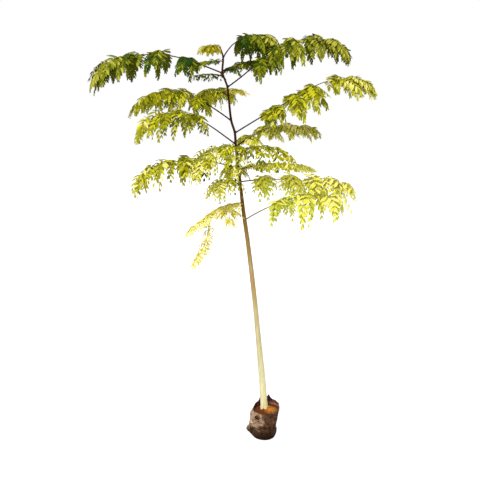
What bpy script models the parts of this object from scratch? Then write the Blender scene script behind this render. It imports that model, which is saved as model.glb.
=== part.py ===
"""Royal poinciana sapling standing in a black film grow bag.

Metres, +Z up. The origin is the centre of the bag's flat underside. The stem leans towards -X,
and each leaf is a bare stalk followed by a drooping rachis that carries pairs of toothed pinnae.
"""
import math
import random
from dataclasses import dataclass

import bmesh
import bpy
from mathutils import Vector
from mathutils.bvhtree import BVHTree

GAP = 0.0003                # clearance between pieces that touch
SEED = 31
UP = Vector((0.0, 0.0, 1.0))

# Stem: height, sideways place, depth and radius of each joint, from the soil to the tip.
SOIL_LEVEL = 0.107
STEM_JOINTS = (
    (SOIL_LEVEL, 0.0010, 0.0000, 0.0158),
    (0.121, 0.0005, 0.0000, 0.0131),
    (0.220, -0.0070, 0.0006, 0.0117),
    (0.340, -0.0182, 0.0012, 0.0098),
    (0.486, -0.0320, 0.0016, 0.0083),
    (0.615, -0.0462, 0.0010, 0.0079),
    (0.740, -0.0615, 0.0002, 0.0071),
    (0.831, -0.0745, -0.0006, 0.0066),
    (0.913, -0.0842, -0.0010, 0.0056),
    (0.981, -0.0918, -0.0004, 0.0050),
    (1.060, -0.1015, 0.0006, 0.0045),
    (1.104, -0.1045, 0.0012, 0.0040),
    (1.146, -0.1165, 0.0004, 0.0038),
    (1.227, -0.1255, -0.0004, 0.0034),
    (1.256, -0.1295, -0.0006, 0.0033),
    (1.298, -0.1440, 0.0004, 0.0034),
    (1.345, -0.1420, 0.0000, 0.0030),
    (1.376, -0.1500, 0.0008, 0.0013),
)
STEM_SIDES = 8
STEM_STEP = 0.075           # longest stretch of stem between two rings

# Leaf stalks and rachises
STALK_RADIUS = 0.0019
CUSHION_RADIUS = 0.0027     # swollen foot of a stalk
CUSHION_LENGTH = 0.010
RACHIS_TIP_RADIUS = 0.0008
STALK_SIDES = 5
RACHIS_SIDES = 3
RACHIS_STRIDE = 0.038       # straight stretch between two bends of a leaf
LEAST_STRIDES = 5
PINNA_STRIDES = 12
PAIR_CROWDING = 0.80        # below 1 the pairs stand closer towards the tip
LAST_PAIR = 0.965           # share of the length where the last pair leaves

# Pinnae: thin toothed blades, one on each side of the rachis
RIB_HALF_WIDTH = 0.0010
RIB_HALF_THICKNESS = 0.00055
FULL_RIB_LENGTH = 0.070     # shorter pinnae have slimmer ribs
BARE_FOOT = 0.12            # share of the rib before the first tooth
RIB_END = 0.88              # and where the teeth give way to the last leaflet
RIB_TAPER = 0.55
TOOTH_LIMITS = (0.036, 0.068)   # pinnae over each length have one more pair of teeth
STAGGER = 0.0040            # the two pinnae of a pair don't leave from quite the same place
TOOTH_REACH = 0.0240        # a tooth stands for two or three leaflets
REACH_SHARE = 0.30          # reach of a short pinna's teeth, as a share of its length
TOOTH_LEAN = 0.80           # how far along its own step a tooth's point stands
ARCH_LIFT = 16.0            # a pinna first climbs this much more than it would lying flat
ARCH_MIDDLE = 0.60          # then bends over: how far towards its hang it is half way
SPLAY_FIRST = 72.0          # angle between rachis and pinna at the first pair
SPLAY_LAST = 24.0           # and at the last one
GUARD = 0.0006              # clearance kept from every other piece

# Grow bag: height, centre and radius of each level
BAG_SEGMENTS = 32
BAG_WALL = 0.0012
BAG_LEVELS = (
    (0.000, 0.0020, 0.0370),
    (0.0035, 0.0010, 0.0420),
    (0.014, -0.0020, 0.0465),
    (0.030, -0.0040, 0.0485),
    (0.046, -0.0030, 0.0470),
    (0.064, -0.0020, 0.0490),
    (0.085, 0.0020, 0.0500),
)
RIM_CENTRE = 0.0085
RIM_RADIUS = 0.0480
RIM_HEIGHT = 0.110
RIM_SIDE_RISE = 0.006       # the rim climbs towards +X
RIM_BACK_RISE = 0.012       # and stands up behind the stem
TEAR_PEAKS = ((66.0, 0.017, 17.0), (112.0, 0.010, 14.0), (262.0, -0.004, 20.0))
EAR_HEADING = 182.0         # folded corner of the bag's bottom seam
EAR_HEIGHT = 0.030
EAR_REACH = 0.0105
SOIL_EDGE_DROP = 0.011      # soil lies this far under the rim
FOOT_PATCH = 0.0185         # flat ring of soil that the stem stands on


@dataclass(frozen=True)
class Leaf:
    """One leaf: where its stalk starts, how it runs and what it carries."""
    name: str
    height: float           # start on the stem, or distance along the carrying stalk
    heading: float          # degrees from +X towards +Y
    length: float           # stalk and rachis together
    rise: tuple             # climb angle in degrees, at even steps along the leaf
    bare: float             # share of the length before the first pair
    pairs: int
    pinna: float            # length of the longest pinna
    hang: float             # how steeply the pinnae end, degrees below level
    tint: str = "mid"
    carrier: str = ""       # name of the leaf whose stalk carries this one


LEAVES = (
    Leaf("top_left", 1.296, 176.0, 0.452, (22, 20, 10, -7, -21, -55), 0.21, 7, 0.120, 84.0, "dark"),
    Leaf("tip_left", 1.364, 150.0, 0.074, (52, 22, -10, -24), 0.28, 3, 0.044, 40.0, "gold"),
    Leaf("neck_left", 1.334, 164.0, 0.078, (4, 0, -6, -8), 0.18, 3, 0.030, 60.0, "dark"),
    Leaf("spray_left", 1.286, 122.0, 0.190, (10, 3, -2, -6), 0.12, 5, 0.042, 72.0, "dark"),
    Leaf("spray_right", 1.304, 56.0, 0.185, (8, 12, 12, 2), 0.18, 4, 0.054, 60.0, "dark"),
    Leaf("crest_right", 1.345, 20.0, 0.168, (58, 48, 16, 6, -10), 0.36, 4, 0.094, 72.0, "dark"),
    Leaf("top_right", 1.252, 2.0, 0.430, (34, 40, 38, 14, -4, -38), 0.27, 7, 0.118, 82.0, "dark"),
    Leaf("tuft_right", 1.236, 48.0, 0.070, (24, 8, -10, -24), 0.26, 3, 0.036, 50.0, "gold"),
    Leaf("upper_left", 1.144, 163.0, 0.362, (35, 31, 25, 3, -19, -30), 0.29, 6, 0.108, 74.0, "mid"),
    Leaf("upper_back", 1.222, 112.0, 0.280, (16, 8, -2, -12, -24), 0.14, 5, 0.090, 74.0, "mid"),
    Leaf("middle_left", 1.067, 204.0, 0.350, (36, 35, 30, 12, -18, -40), 0.39, 5, 0.120, 76.0, "mid"),
    Leaf("upper_right", 1.104, 8.0, 0.490, (31, 30, 28, 30, 3, -21), 0.23, 6, 0.124, 64.0, "mid"),
    Leaf("middle_right", 1.058, 40.0, 0.372, (30, 20, 9, 1, -5, -11), 0.11, 6, 0.092, 66.0, "mid"),
    Leaf("hanging_right", 1.040, -50.0, 0.252, (20, 14, 4, -10, -26), 0.22, 5, 0.080, 72.0, "mid"),
    Leaf("lower_left", 0.980, 188.0, 0.352, (28, 14, 3, -5, -22, -60), 0.27, 6, 0.120, 80.0, "mid"),
    Leaf("front_left", 1.052, 232.0, 0.225, (18, 4, -14, -34, -54), 0.12, 5, 0.094, 76.0, "mid"),
    Leaf("front", 1.047, 270.0, 0.230, (24, 10, -8, -30, -50), 0.12, 4, 0.070, 74.0, "mid"),
    Leaf("lower_far", 0.962, 98.0, 0.290, (16, 6, -6, -20, -34), 0.14, 5, 0.080, 70.0, "mid"),
    Leaf("low_front", 0.924, 240.0, 0.170, (36, 20, -6, -30), 0.28, 4, 0.086, 80.0, "mid"),
    Leaf("lower_right", 0.942, -4.0, 0.350, (7, 5, -2, -3, -6, -12), 0.16, 6, 0.108, 74.0, "light"),
    Leaf("lower_back", 0.981, 48.0, 0.390, (8, 1, -4, -6, -9, -14), 0.18, 6, 0.090, 60.0, "light"),
    Leaf("lowest_right", 0.810, -30.0, 0.350, (34, 29, 24, 19, 4, -22), 0.27, 5, 0.118, 76.0, "light"),
    Leaf("lowest_left", 0.870, 198.0, 0.226, (-2, -10, -36, -32, -46), 0.56, 3, 0.060, 60.0, "gold"),
    Leaf("lowest_arm", 0.108, 214.0, 0.192, (-66, -80, -58, -48), 0.16, 4, 0.056, 62.0, "gold",
         "lowest_left"),
    Leaf("lowest_tuft", 0.052, -74.0, 0.048, (-40, -66, -76), 0.22, 2, 0.046, 70.0, "gold",
         "lowest_left"),
)

PAINTS = {
    "bark": ((0.30, 0.19, 0.07), 0.75),
    "stalk": ((0.10, 0.045, 0.040), 0.60),
    "film": ((0.030, 0.024, 0.022), 0.42),
    "soil": ((0.34, 0.13, 0.03), 0.95),
    "dark": ((0.050, 0.115, 0.020), 0.55),
    "mid": ((0.20, 0.24, 0.015), 0.55),
    "light": ((0.42, 0.45, 0.030), 0.55),
    "gold": ((0.60, 0.52, 0.035), 0.55),
}


def clear_scene():
    """Remove every object that the file opened with."""
    for item in list(bpy.data.objects):
        bpy.data.objects.remove(item, do_unlink=True)


def make_paint(name, colour, roughness):
    paint = bpy.data.materials.new(name)
    paint.use_nodes = True
    shader = paint.node_tree.nodes["Principled BSDF"]
    shader.inputs["Base Color"].default_value = (*colour, 1.0)
    shader.inputs["Roughness"].default_value = roughness
    shader.inputs["Metallic"].default_value = 0.0
    return paint


def mesh_object(name, vertices, faces, paint=None):
    """Closed shell with its faces turned outwards."""
    mesh = bpy.data.meshes.new(name)
    mesh.from_pydata(vertices, [], faces)
    work = bmesh.new()
    work.from_mesh(mesh)
    bmesh.ops.recalc_face_normals(work, faces=work.faces)
    work.to_mesh(mesh)
    work.free()
    item = bpy.data.objects.new(name, mesh)
    bpy.context.scene.collection.objects.link(item)
    if paint:
        mesh.materials.append(paint)
    return item


def blend(low, high, share):
    return low + (high - low) * share


def direction(heading, climb):
    """Unit vector from a heading and a climb angle, both in degrees."""
    across, up = math.radians(heading), math.radians(climb)
    return Vector((math.cos(across) * math.cos(up), math.sin(across) * math.cos(up), math.sin(up)))


def level_side(heading):
    """Level unit vector at right angles to a heading."""
    across = math.radians(heading)
    return Vector((-math.sin(across), math.cos(across), 0.0))


class Run:
    """A bent line of known length in one upright plane, its climb given at even steps."""

    def __init__(self, start, heading, length, climbs, strides):
        self.heading, self.length, self.climbs, self.strides = heading, length, climbs, strides
        self.points = [start.copy()]
        for stride in range(strides):
            ahead = direction(heading, self.climb((stride + 0.5) * length / strides))
            self.points.append(self.points[-1] + ahead * length / strides)

    def climb(self, distance):
        place = min(max(distance / self.length, 0.0), 1.0) * (len(self.climbs) - 1)
        index = min(int(place), len(self.climbs) - 2)
        return blend(self.climbs[index], self.climbs[index + 1], place - index)

    def stride_at(self, distance):
        """Number of the straight stride at a distance, and how far along it that is."""
        place = min(max(distance / self.length, 0.0), 1.0) * self.strides
        index = min(int(place), self.strides - 1)
        return index, place - index

    def point(self, distance):
        index, share = self.stride_at(distance)
        return self.points[index].lerp(self.points[index + 1], share)

    def tangent(self, distance):
        return direction(self.heading, self.climb(distance))

    def stops(self, start, end):
        """Distances of the bends between two places, with both places."""
        stride = self.length / self.strides
        inside = [index * stride for index in range(1, self.strides)]
        return [start] + [stop for stop in inside if start + GAP < stop < end - GAP] + [end]


def tube_shell(points, tangents, radii, sides, reference):
    """Vertices and faces of a closed tapering tube with flat ends."""
    vertices, faces = [], []
    for point, tangent, radius in zip(points, tangents, radii):
        across = (reference - reference.dot(tangent) * tangent).normalized()
        over = tangent.cross(across)
        for side in range(sides):
            angle = math.tau * side / sides
            vertices.append(point + (across * math.cos(angle) + over * math.sin(angle)) * radius)
    for ring in range(len(points) - 1):
        for side in range(sides):
            start, following = ring * sides + side, ring * sides + (side + 1) % sides
            faces.append((start, following, following + sides, start + sides))
    last = (len(points) - 1) * sides
    faces.append(tuple(range(sides)))
    faces.append(tuple(range(last, last + sides)))
    return vertices, faces


def stem_rings():
    """Points, tangents and radii along the stem, smoothly through its joints."""
    points, radii = [], []
    joints = [Vector((across, depth, height, radius)) for height, across, depth, radius in STEM_JOINTS]
    for index in range(len(joints) - 1):
        before = joints[max(index - 1, 0)]
        here, ahead = joints[index], joints[index + 1]
        after = joints[min(index + 2, len(joints) - 1)]
        cuts = max(1, math.ceil((ahead.z - here.z) / STEM_STEP))
        for cut in range(cuts):
            share = cut / cuts
            bend = 0.25 * share * (1 - share)
            pull = (here - before) * (1 - share) - (after - ahead) * share
            smooth = here.lerp(ahead, share) + pull * bend
            height = blend(here.z, ahead.z, share)
            points.append(Vector((smooth.x, smooth.y, height)))
            radii.append(blend(here.w, ahead.w, share))
    points.append(joints[-1].xyz)
    radii.append(joints[-1].w)
    tangents = []
    for index in range(len(points)):
        behind, ahead = points[max(index - 1, 0)], points[min(index + 1, len(points) - 1)]
        tangents.append((ahead - behind).normalized())
    tangents[0] = UP.copy()
    return points, tangents, radii


def stem_axis(height):
    """Point on the stem's axis at a height."""
    points, _, _ = stem_rings()
    for low, high in zip(points, points[1:]):
        if height <= high.z:
            return low.lerp(high, max(0.0, height - low.z) / (high.z - low.z))
    return points[-1]


def stem_shell(grow=0.0):
    points, tangents, radii = stem_rings()
    return tube_shell(points, tangents, [radius + grow for radius in radii], STEM_SIDES, Vector((1, 0, 0)))


def leaf_radius(leaf, distance):
    """Thickness of a stalk and its rachis, with the swollen foot."""
    size = min(1.0, leaf.length / 0.20) ** 0.5
    slim = blend(STALK_RADIUS, RACHIS_TIP_RADIUS, distance / leaf.length) * size
    swell = max(0.0, 1.0 - distance / CUSHION_LENGTH)
    return slim + (CUSHION_RADIUS * size - slim) * swell * swell


def limb_shell(leaf, run, start, end, sides, grow=0.0):
    """Tube along a stretch of a leaf's run."""
    stops = run.stops(start, end)
    if start < CUSHION_LENGTH:
        stops[1:1] = [CUSHION_LENGTH]
    points = [run.point(stop) for stop in stops]
    tangents = []
    for index in range(len(stops)):
        behind, ahead = points[max(index - 1, 0)], points[min(index + 1, len(points) - 1)]
        tangents.append((ahead - behind).normalized())
    points[-1] = points[-1] + tangents[-1] * grow
    radii = [leaf_radius(leaf, stop) + grow for stop in stops]
    return tube_shell(points, tangents, radii, sides, level_side(run.heading))


def apply_boolean(item, operation, cutter=None, group=None):
    """Run one Boolean with a single cutter or a whole collection, and keep its result."""
    modifier = item.modifiers.new(operation.lower(), "BOOLEAN")
    modifier.operation = operation
    modifier.solver = "EXACT"
    if group:
        modifier.operand_type = "COLLECTION"
        modifier.collection = group
    else:
        modifier.object = cutter
    graph = bpy.context.evaluated_depsgraph_get()
    result = bpy.data.meshes.new_from_object(item.evaluated_get(graph))
    item.modifiers.remove(modifier)
    item.data = result


def keep_largest_shell(item):
    """Fill hollows sealed by the union and drop loose scraps: both are shells of their own."""
    work = bmesh.new()
    work.from_mesh(item.data)
    waiting, shells = set(work.verts), []
    while waiting:
        shell, edge_of_shell = set(), [waiting.pop()]
        while edge_of_shell:
            vertex = edge_of_shell.pop()
            shell.add(vertex)
            near = {edge.other_vert(vertex) for edge in vertex.link_edges} & waiting
            waiting -= near
            edge_of_shell.extend(near)
        shells.append(shell)
    largest = max(shells, key=len)
    bmesh.ops.delete(work, geom=[vertex for vertex in work.verts if vertex not in largest], context="VERTS")
    work.to_mesh(item.data)
    work.free()


def drop_object(item):
    bpy.data.objects.remove(item, do_unlink=True)


def surface_tree(item):
    """Search tree over an object's triangles, used to keep pieces apart."""
    mesh = item.data
    return BVHTree.FromPolygons([v.co.copy() for v in mesh.vertices],
                                [tuple(p.vertices) for p in mesh.polygons])


def pinna_reach(share):
    """Leaflet length along a pinna, as a share of the longest."""
    opening = min(1.0, 0.72 + 1.3 * share)
    return opening * (1.0 - 0.62 * share ** 2.2)


def pinna_shell(run, teeth, reach, grow=0.0):
    """Thin blade that follows a run, cut to its three-sided rib between wedge-shaped teeth."""
    stops = [0.0] + [run.length * blend(BARE_FOOT, RIB_END, cut / teeth) for cut in range(teeth + 1)]
    slim = min(1.0, run.length / FULL_RIB_LENGTH) ** 0.5
    across = level_side(run.heading)
    vertices, tips = [], []
    for index, stop in enumerate(stops):
        point, ahead = run.point(stop), run.tangent(stop)
        over = ahead.cross(across)
        taper = 1.0 - RIB_TAPER * stop / run.length
        half_width = RIB_HALF_WIDTH * slim * taper + grow
        half_thickness = RIB_HALF_THICKNESS * slim * taper + grow
        vertices.append(point + across * half_width - over * half_thickness)
        vertices.append(point - across * half_width - over * half_thickness)
        vertices.append(point + over * half_thickness * 2.0)
        if 0 < index <= teeth:
            forward = ahead * (stops[index + 1] - stop) * TOOTH_LEAN
            spread = across * (reach * pinna_reach((index - 0.5) / teeth) + grow)
            tips += [point + forward + spread, point + forward - spread]
    end = len(vertices)
    vertices.append(run.point(run.length) + run.tangent(run.length) * grow)
    vertices += tips
    faces = [(0, 1, 2)]
    for index in range(len(stops) - 1):
        near, far = index * 3, index * 3 + 3
        faces.append((near, near + 1, far + 1, far))
        for side in (0, 1):
            if index == 0:
                faces.append((near + side, near + 2, far + 2, far + side))
                continue
            tip = end + 1 + (index - 1) * 2 + side
            faces.append((near + 2, far + 2, tip))
            faces.append((near + side, near + 2, tip))
            faces.append((far + side, far + 2, tip))
            faces.append((near + side, far + side, tip))
    last = (len(stops) - 1) * 3
    for corner in range(3):
        faces.append((last + corner, last + (corner + 1) % 3, end))
    return vertices, faces


def pinna_runs(leaf, run):
    """The run of every pinna of a leaf, pair by pair."""
    chance = random.Random(SEED + sum(map(ord, leaf.name)))
    first = leaf.bare * leaf.length + 0.012
    for pair in range(leaf.pairs):
        share = pair / (leaf.pairs - 1)
        place = blend(first, leaf.length * LAST_PAIR, share ** PAIR_CROWDING)
        splay = blend(SPLAY_FIRST, SPLAY_LAST, share ** 1.5)
        swell = math.sin(math.pi * blend(0.36, 0.86, share)) ** 0.7
        ahead = run.tangent(place)
        for side in (1, -1):
            length = leaf.pinna * swell * chance.uniform(0.90, 1.08)
            turn = math.radians(splay + chance.uniform(-7.0, 7.0))
            start_way = ahead * math.cos(turn) + level_side(run.heading) * side * math.sin(turn)
            heading = math.degrees(math.atan2(start_way.y, start_way.x))
            climb = math.degrees(math.asin(start_way.z))
            hang = -leaf.hang + chance.uniform(-9.0, 9.0)
            foot = run.point(place + side * STAGGER * 0.5)
            middle = blend(climb, hang, ARCH_MIDDLE)
            yield Run(foot, heading, length, (climb + ARCH_LIFT, middle, hang), PINNA_STRIDES)


def build_stem(paint):
    vertices, faces = stem_shell()
    return mesh_object("trunk", vertices, faces, paint)


def build_stalk(leaf, run, grown_carrier, paint):
    """Bare stalk, shaped round the limb that carries it and clear of it."""
    end = leaf.bare * leaf.length
    vertices, faces = limb_shell(leaf, run, 0.0, end, STALK_SIDES)
    stalk = mesh_object("stalk_" + leaf.name, vertices, faces)
    cutter = mesh_object("carrier", *grown_carrier)
    apply_boolean(stalk, "DIFFERENCE", cutter=cutter)
    drop_object(cutter)
    stalk.data.materials.clear()
    stalk.data.materials.append(paint)
    return stalk


def build_frond(leaf, run, others, paint):
    """Rachis with its pinnae, joined into one solid that keeps clear of all other pieces."""
    start = leaf.bare * leaf.length + GAP
    vertices, faces = limb_shell(leaf, run, start, leaf.length, RACHIS_SIDES)
    frond = mesh_object("frond_" + leaf.name, vertices, faces)
    group = bpy.data.collections.new("pinnae_" + leaf.name)
    bpy.context.scene.collection.children.link(group)
    for branch in pinna_runs(leaf, run):
        reach = min(TOOTH_REACH, branch.length * REACH_SHARE)
        teeth = 1 + sum(branch.length > limit for limit in TOOTH_LIMITS)
        guard = mesh_object("guard", *pinna_shell(branch, teeth, reach, GUARD))
        tree = surface_tree(guard)
        drop_object(guard)
        if any(tree.overlap(other) for other in others):
            continue
        pinna = mesh_object("pinna", *pinna_shell(branch, teeth, reach))
        bpy.context.scene.collection.objects.unlink(pinna)
        group.objects.link(pinna)
    apply_boolean(frond, "UNION", group=group)
    for pinna in list(group.objects):
        drop_object(pinna)
    bpy.data.collections.remove(group)
    keep_largest_shell(frond)
    frond.data.materials.clear()
    frond.data.materials.append(paint)
    return frond


def rim_height(angle):
    """Height of the bag's torn edge round its mouth."""
    height = RIM_HEIGHT + RIM_SIDE_RISE * math.cos(angle) + RIM_BACK_RISE * max(0.0, math.sin(angle))
    for heading, rise, width in TEAR_PEAKS:
        away = (math.degrees(angle) - heading + 180.0) % 360.0 - 180.0
        height += rise * max(0.0, 1.0 - abs(away) / width)
    return height


def bag_point(angle, height, centre, radius, inset=0.0):
    """Point on the slack film, with soft dents, folds and the seam's corner."""
    dents = 0.0011 * math.sin(3 * angle + 60 * height) + 0.0008 * math.sin(5 * angle - 90 * height + 1.3)
    away = (math.degrees(angle) - EAR_HEADING + 180.0) % 360.0 - 180.0
    ear = EAR_REACH * math.exp(-(away / 20.0) ** 2) * math.exp(-((height - EAR_HEIGHT) / 0.014) ** 2)
    reach = radius + dents * min(1.0, height / 0.012) + ear - inset
    return Vector((centre + reach * math.cos(angle), reach * math.sin(angle), height))


def bag_ring(level, inset=0.0):
    height, centre, radius = level
    angles = [math.tau * step / BAG_SEGMENTS for step in range(BAG_SEGMENTS)]
    return [bag_point(angle, height, centre, radius, inset) for angle in angles]


def rim_ring(inset=0.0):
    angles = [math.tau * step / BAG_SEGMENTS for step in range(BAG_SEGMENTS)]
    return [bag_point(angle, rim_height(angle), RIM_CENTRE, RIM_RADIUS, inset) for angle in angles]


def loft(name, rings, paint):
    """Closed solid through rings of equal count, with a flat face at each end.

    Each quad is split along the same diagonal whichever way the rings run, so that a wall and
    what fills it stay parallel.
    """
    vertices = [point for ring in rings for point in ring]
    count = len(rings[0])
    faces = [tuple(range(count)), tuple(range(len(vertices) - count, len(vertices)))]
    for ring in range(len(rings) - 1):
        climbs = rings[ring + 1][0].z > rings[ring][0].z
        low, high = (ring, ring + 1) if climbs else (ring + 1, ring)
        for step in range(count):
            following = (step + 1) % count
            corner, opposite = low * count + step, high * count + following
            faces.append((corner, low * count + following, opposite))
            faces.append((corner, opposite, high * count + step))
    return mesh_object(name, vertices, faces, paint)


def build_bag(paint):
    outer = [bag_ring(level) for level in BAG_LEVELS] + [rim_ring()]
    inner = [rim_ring(BAG_WALL)] + [bag_ring(level, BAG_WALL) for level in reversed(BAG_LEVELS[2:])]
    inner.append(bag_ring(BAG_LEVELS[1], BAG_WALL * 1.5))
    inner.append([Vector((point.x, point.y, BAG_WALL)) for point in bag_ring(BAG_LEVELS[0], BAG_WALL)])
    return loft("grow_bag", outer + inner, paint)


def build_soil(paint):
    """Packed soil that fills the bag and mounds up round the foot of the stem."""
    inset = BAG_WALL + 2 * GAP
    floor = [Vector((point.x, point.y, BAG_WALL + GAP)) for point in bag_ring(BAG_LEVELS[0], inset)]
    rings = [floor, bag_ring(BAG_LEVELS[1], BAG_WALL * 1.5 + 2 * GAP)]
    rings += [bag_ring(level, inset) for level in BAG_LEVELS[2:]]
    edge = []
    for shoulder, rim in zip(bag_ring(BAG_LEVELS[-1], inset + 2 * GAP), rim_ring(inset + 2 * GAP)):
        height = RIM_HEIGHT - SOIL_EDGE_DROP + RIM_SIDE_RISE * rim.x / RIM_RADIUS
        edge.append(shoulder.lerp(rim, (height - shoulder.z) / (rim.z - shoulder.z)))
    rings.append(edge)
    foot = stem_axis(SOIL_LEVEL)
    top = SOIL_LEVEL - GAP
    for share, crumb in ((0.45, 0.0020), (1.0, 0.0)):
        ring = []
        for step, point in enumerate(edge):
            angle = math.tau * step / BAG_SEGMENTS
            side = Vector((math.cos(angle), math.sin(angle), 0)) * FOOT_PATCH
            target = Vector((foot.x, foot.y, top)) + side
            lump = crumb * (math.sin(4 * angle + 0.7) + 0.6 * math.sin(7 * angle))
            ring.append(point.lerp(target, share) + UP * lump)
        rings.append(ring)
    return loft("root_ball", rings, paint)


def main():
    clear_scene()
    paints = {name: make_paint(name, *values) for name, values in PAINTS.items()}
    build_bag(paints["film"])
    build_soil(paints["soil"])
    trunk = build_stem(paints["bark"])
    runs, stalks = {}, [trunk]
    for leaf in LEAVES:
        carrier = next((other for other in LEAVES if other.name == leaf.carrier), None)
        if carrier:
            foot = runs[carrier.name].point(leaf.height)
            end = carrier.bare * carrier.length
            grown = limb_shell(carrier, runs[carrier.name], 0.0, end, STALK_SIDES, GAP)
        else:
            foot = stem_axis(leaf.height)
            grown = stem_shell(GAP)
        strides = max(LEAST_STRIDES, math.ceil(leaf.length / RACHIS_STRIDE))
        runs[leaf.name] = Run(foot, leaf.heading, leaf.length, leaf.rise, strides)
        stalks.append(build_stalk(leaf, runs[leaf.name], grown, paints["stalk"]))
    stalk_trees = [surface_tree(item) for item in stalks]
    rachis_trees = {}
    for leaf in LEAVES:
        start = leaf.bare * leaf.length + GAP
        shell = limb_shell(leaf, runs[leaf.name], start, leaf.length, RACHIS_SIDES, GAP)
        probe = mesh_object("probe", *shell)
        rachis_trees[leaf.name] = surface_tree(probe)
        drop_object(probe)
    frond_trees = []
    for leaf in LEAVES:
        others = [tree for name, tree in rachis_trees.items() if name != leaf.name]
        frond = build_frond(leaf, runs[leaf.name], stalk_trees + others + frond_trees, paints[leaf.tint])
        frond_trees.append(surface_tree(frond))


main()
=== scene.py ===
"""Royal poinciana sapling in a film grow bag: the finished surfaces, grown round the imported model.

Metres, +Z up. The leaves follow the rule that placed the plain fronds: each stalk leaves the stem
at its own height and heading, bends in one upright plane, and carries pinnae in pairs that arch
over and hang. Here the pairs gather in fans, and each pinna has a rib with two rows of leaflets.
"""
from __future__ import annotations

import logging
import math
import random
from collections.abc import Callable, Iterator, Mapping, Sequence
from dataclasses import dataclass
from enum import Enum

import bmesh
import bpy
from bpy.types import ID, Material, Mesh, Node, NodeOutputs, NodeSocket, NodeTree, Object
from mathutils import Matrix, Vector, noise

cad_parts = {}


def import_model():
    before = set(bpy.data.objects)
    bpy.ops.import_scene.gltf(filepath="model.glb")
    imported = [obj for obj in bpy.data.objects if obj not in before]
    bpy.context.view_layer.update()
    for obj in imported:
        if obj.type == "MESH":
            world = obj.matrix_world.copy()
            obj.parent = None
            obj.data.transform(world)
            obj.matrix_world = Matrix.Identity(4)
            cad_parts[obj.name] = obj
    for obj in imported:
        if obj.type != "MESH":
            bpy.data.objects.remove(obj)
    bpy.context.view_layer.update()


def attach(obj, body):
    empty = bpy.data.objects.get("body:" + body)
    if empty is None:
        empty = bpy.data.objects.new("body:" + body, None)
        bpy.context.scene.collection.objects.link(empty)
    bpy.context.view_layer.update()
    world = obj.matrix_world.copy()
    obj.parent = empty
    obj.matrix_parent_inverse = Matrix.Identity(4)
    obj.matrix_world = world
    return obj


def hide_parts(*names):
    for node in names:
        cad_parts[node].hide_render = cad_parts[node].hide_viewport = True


log = logging.getLogger("sapling")

Pair = tuple[float, float]
Triple = tuple[float, float, float]
Colour = Triple
Face = tuple[int, ...]
ONES = (1.0, 1.0, 1.0)          # white, or a texture that isn't stretched
UP = Vector((0.0, 0.0, 1.0))
BODY = "root"


# ---------------------------------------------------------------- shared helpers

def blend(low: float, high: float, share: float) -> float:
    """Value between two others."""
    return low + (high - low) * share


def clamp(value: float, low: float = 0.0, high: float = 1.0) -> float:
    """Value held between two limits."""
    return min(max(value, low), high)


def hump(distance: float, width: float) -> float:
    """Soft bump of height 1 at no distance, gone beyond about two widths."""
    return math.exp(-(distance / width) ** 2)


def direction(heading: float, climb: float) -> Vector:
    """Unit vector from a heading and a climb angle, both in degrees."""
    across, up = math.radians(heading), math.radians(climb)
    return Vector((math.cos(across) * math.cos(up), math.sin(across) * math.cos(up), math.sin(up)))


def level_at(angle: float) -> Vector:
    """Level unit vector at an angle in radians."""
    return Vector((math.cos(angle), math.sin(angle), 0.0))


def level_side(heading: float) -> Vector:
    """Level unit vector at right angles to a heading."""
    across = math.radians(heading)
    return Vector((-math.sin(across), math.cos(across), 0.0))


def turns(count: int) -> list[float]:
    """Angles in radians that divide a full turn evenly."""
    return [math.tau * number / count for number in range(count)]


def spaced(start: float, end: float, step: float) -> list[float]:
    """Even places from one to another, about a step apart."""
    cuts = max(2, round((end - start) / step))
    return [blend(start, end, cut / cuts) for cut in range(cuts + 1)]


def along(rows: Sequence[Sequence[float]], place: float) -> list[float]:
    """Smooth curve through rows of numbers, by their first column.

    Args:
        rows: at least two rows, each a place followed by the values there.
        place: where to read them, held within the first and last row.

    Returns:
        The values at that place.
    """
    index = next((i for i in range(1, len(rows) - 1) if place <= rows[i][0]), len(rows) - 1)
    low, high = rows[index - 1], rows[index]
    before, after = rows[max(index - 2, 0)], rows[min(index + 1, len(rows) - 1)]
    step = high[0] - low[0]
    t = clamp((place - low[0]) / step)
    values = []
    for column in range(1, len(low)):
        slope_low = (high[column] - before[column]) / (high[0] - before[0]) * step
        slope_high = (after[column] - low[column]) / (after[0] - low[0]) * step
        values.append((2 * t ** 3 - 3 * t ** 2 + 1) * low[column] + (t ** 3 - 2 * t ** 2 + t) * slope_low
                      + (3 * t ** 2 - 2 * t ** 3) * high[column] + (t ** 3 - t ** 2) * slope_high)
    return values


def rings_from(start: int, count: int, size: int) -> list[range]:
    """Numbers of the points of some rings that follow one another."""
    return [range(start + ring * size, start + (ring + 1) * size) for ring in range(count)]


def neighbours(ring: Sequence[int]) -> Iterator[tuple[int, int]]:
    """Each point of a closed ring with the next one."""
    return zip(ring, [*ring[1:], ring[0]])


def bands(rings: Sequence[Sequence[int]]) -> list[Face]:
    """Faces between each closed ring and the next."""
    return [(here, following, beyond, beside) for first, second in zip(rings, rings[1:])
            for (here, following), (beside, beyond) in zip(neighbours(first), neighbours(second))]


def lid(ring: Sequence[int], pole: int) -> list[Face]:
    """Faces between a closed ring and one point."""
    return [(here, following, pole) for here, following in neighbours(ring)]


def new_object(name: str, data: ID) -> Object:
    """New object in the scene that shows some data."""
    item = bpy.data.objects.new(name, data)
    bpy.context.scene.collection.objects.link(item)
    return item


def mesh_from(name: str, points: Sequence[Vector], edges: Sequence[tuple[int, int]],
              faces: Sequence[Face]) -> Mesh:
    """Mesh from its points, edges and faces."""
    mesh = bpy.data.meshes.new(name)
    mesh.from_pydata(points, edges, faces)
    mesh.update()
    return mesh


def face_outwards(mesh: Mesh) -> None:
    """Turn every face of a closed mesh outwards."""
    work = bmesh.new()
    work.from_mesh(mesh)
    bmesh.ops.recalc_face_normals(work, faces=work.faces)
    work.to_mesh(mesh)
    work.free()


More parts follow.
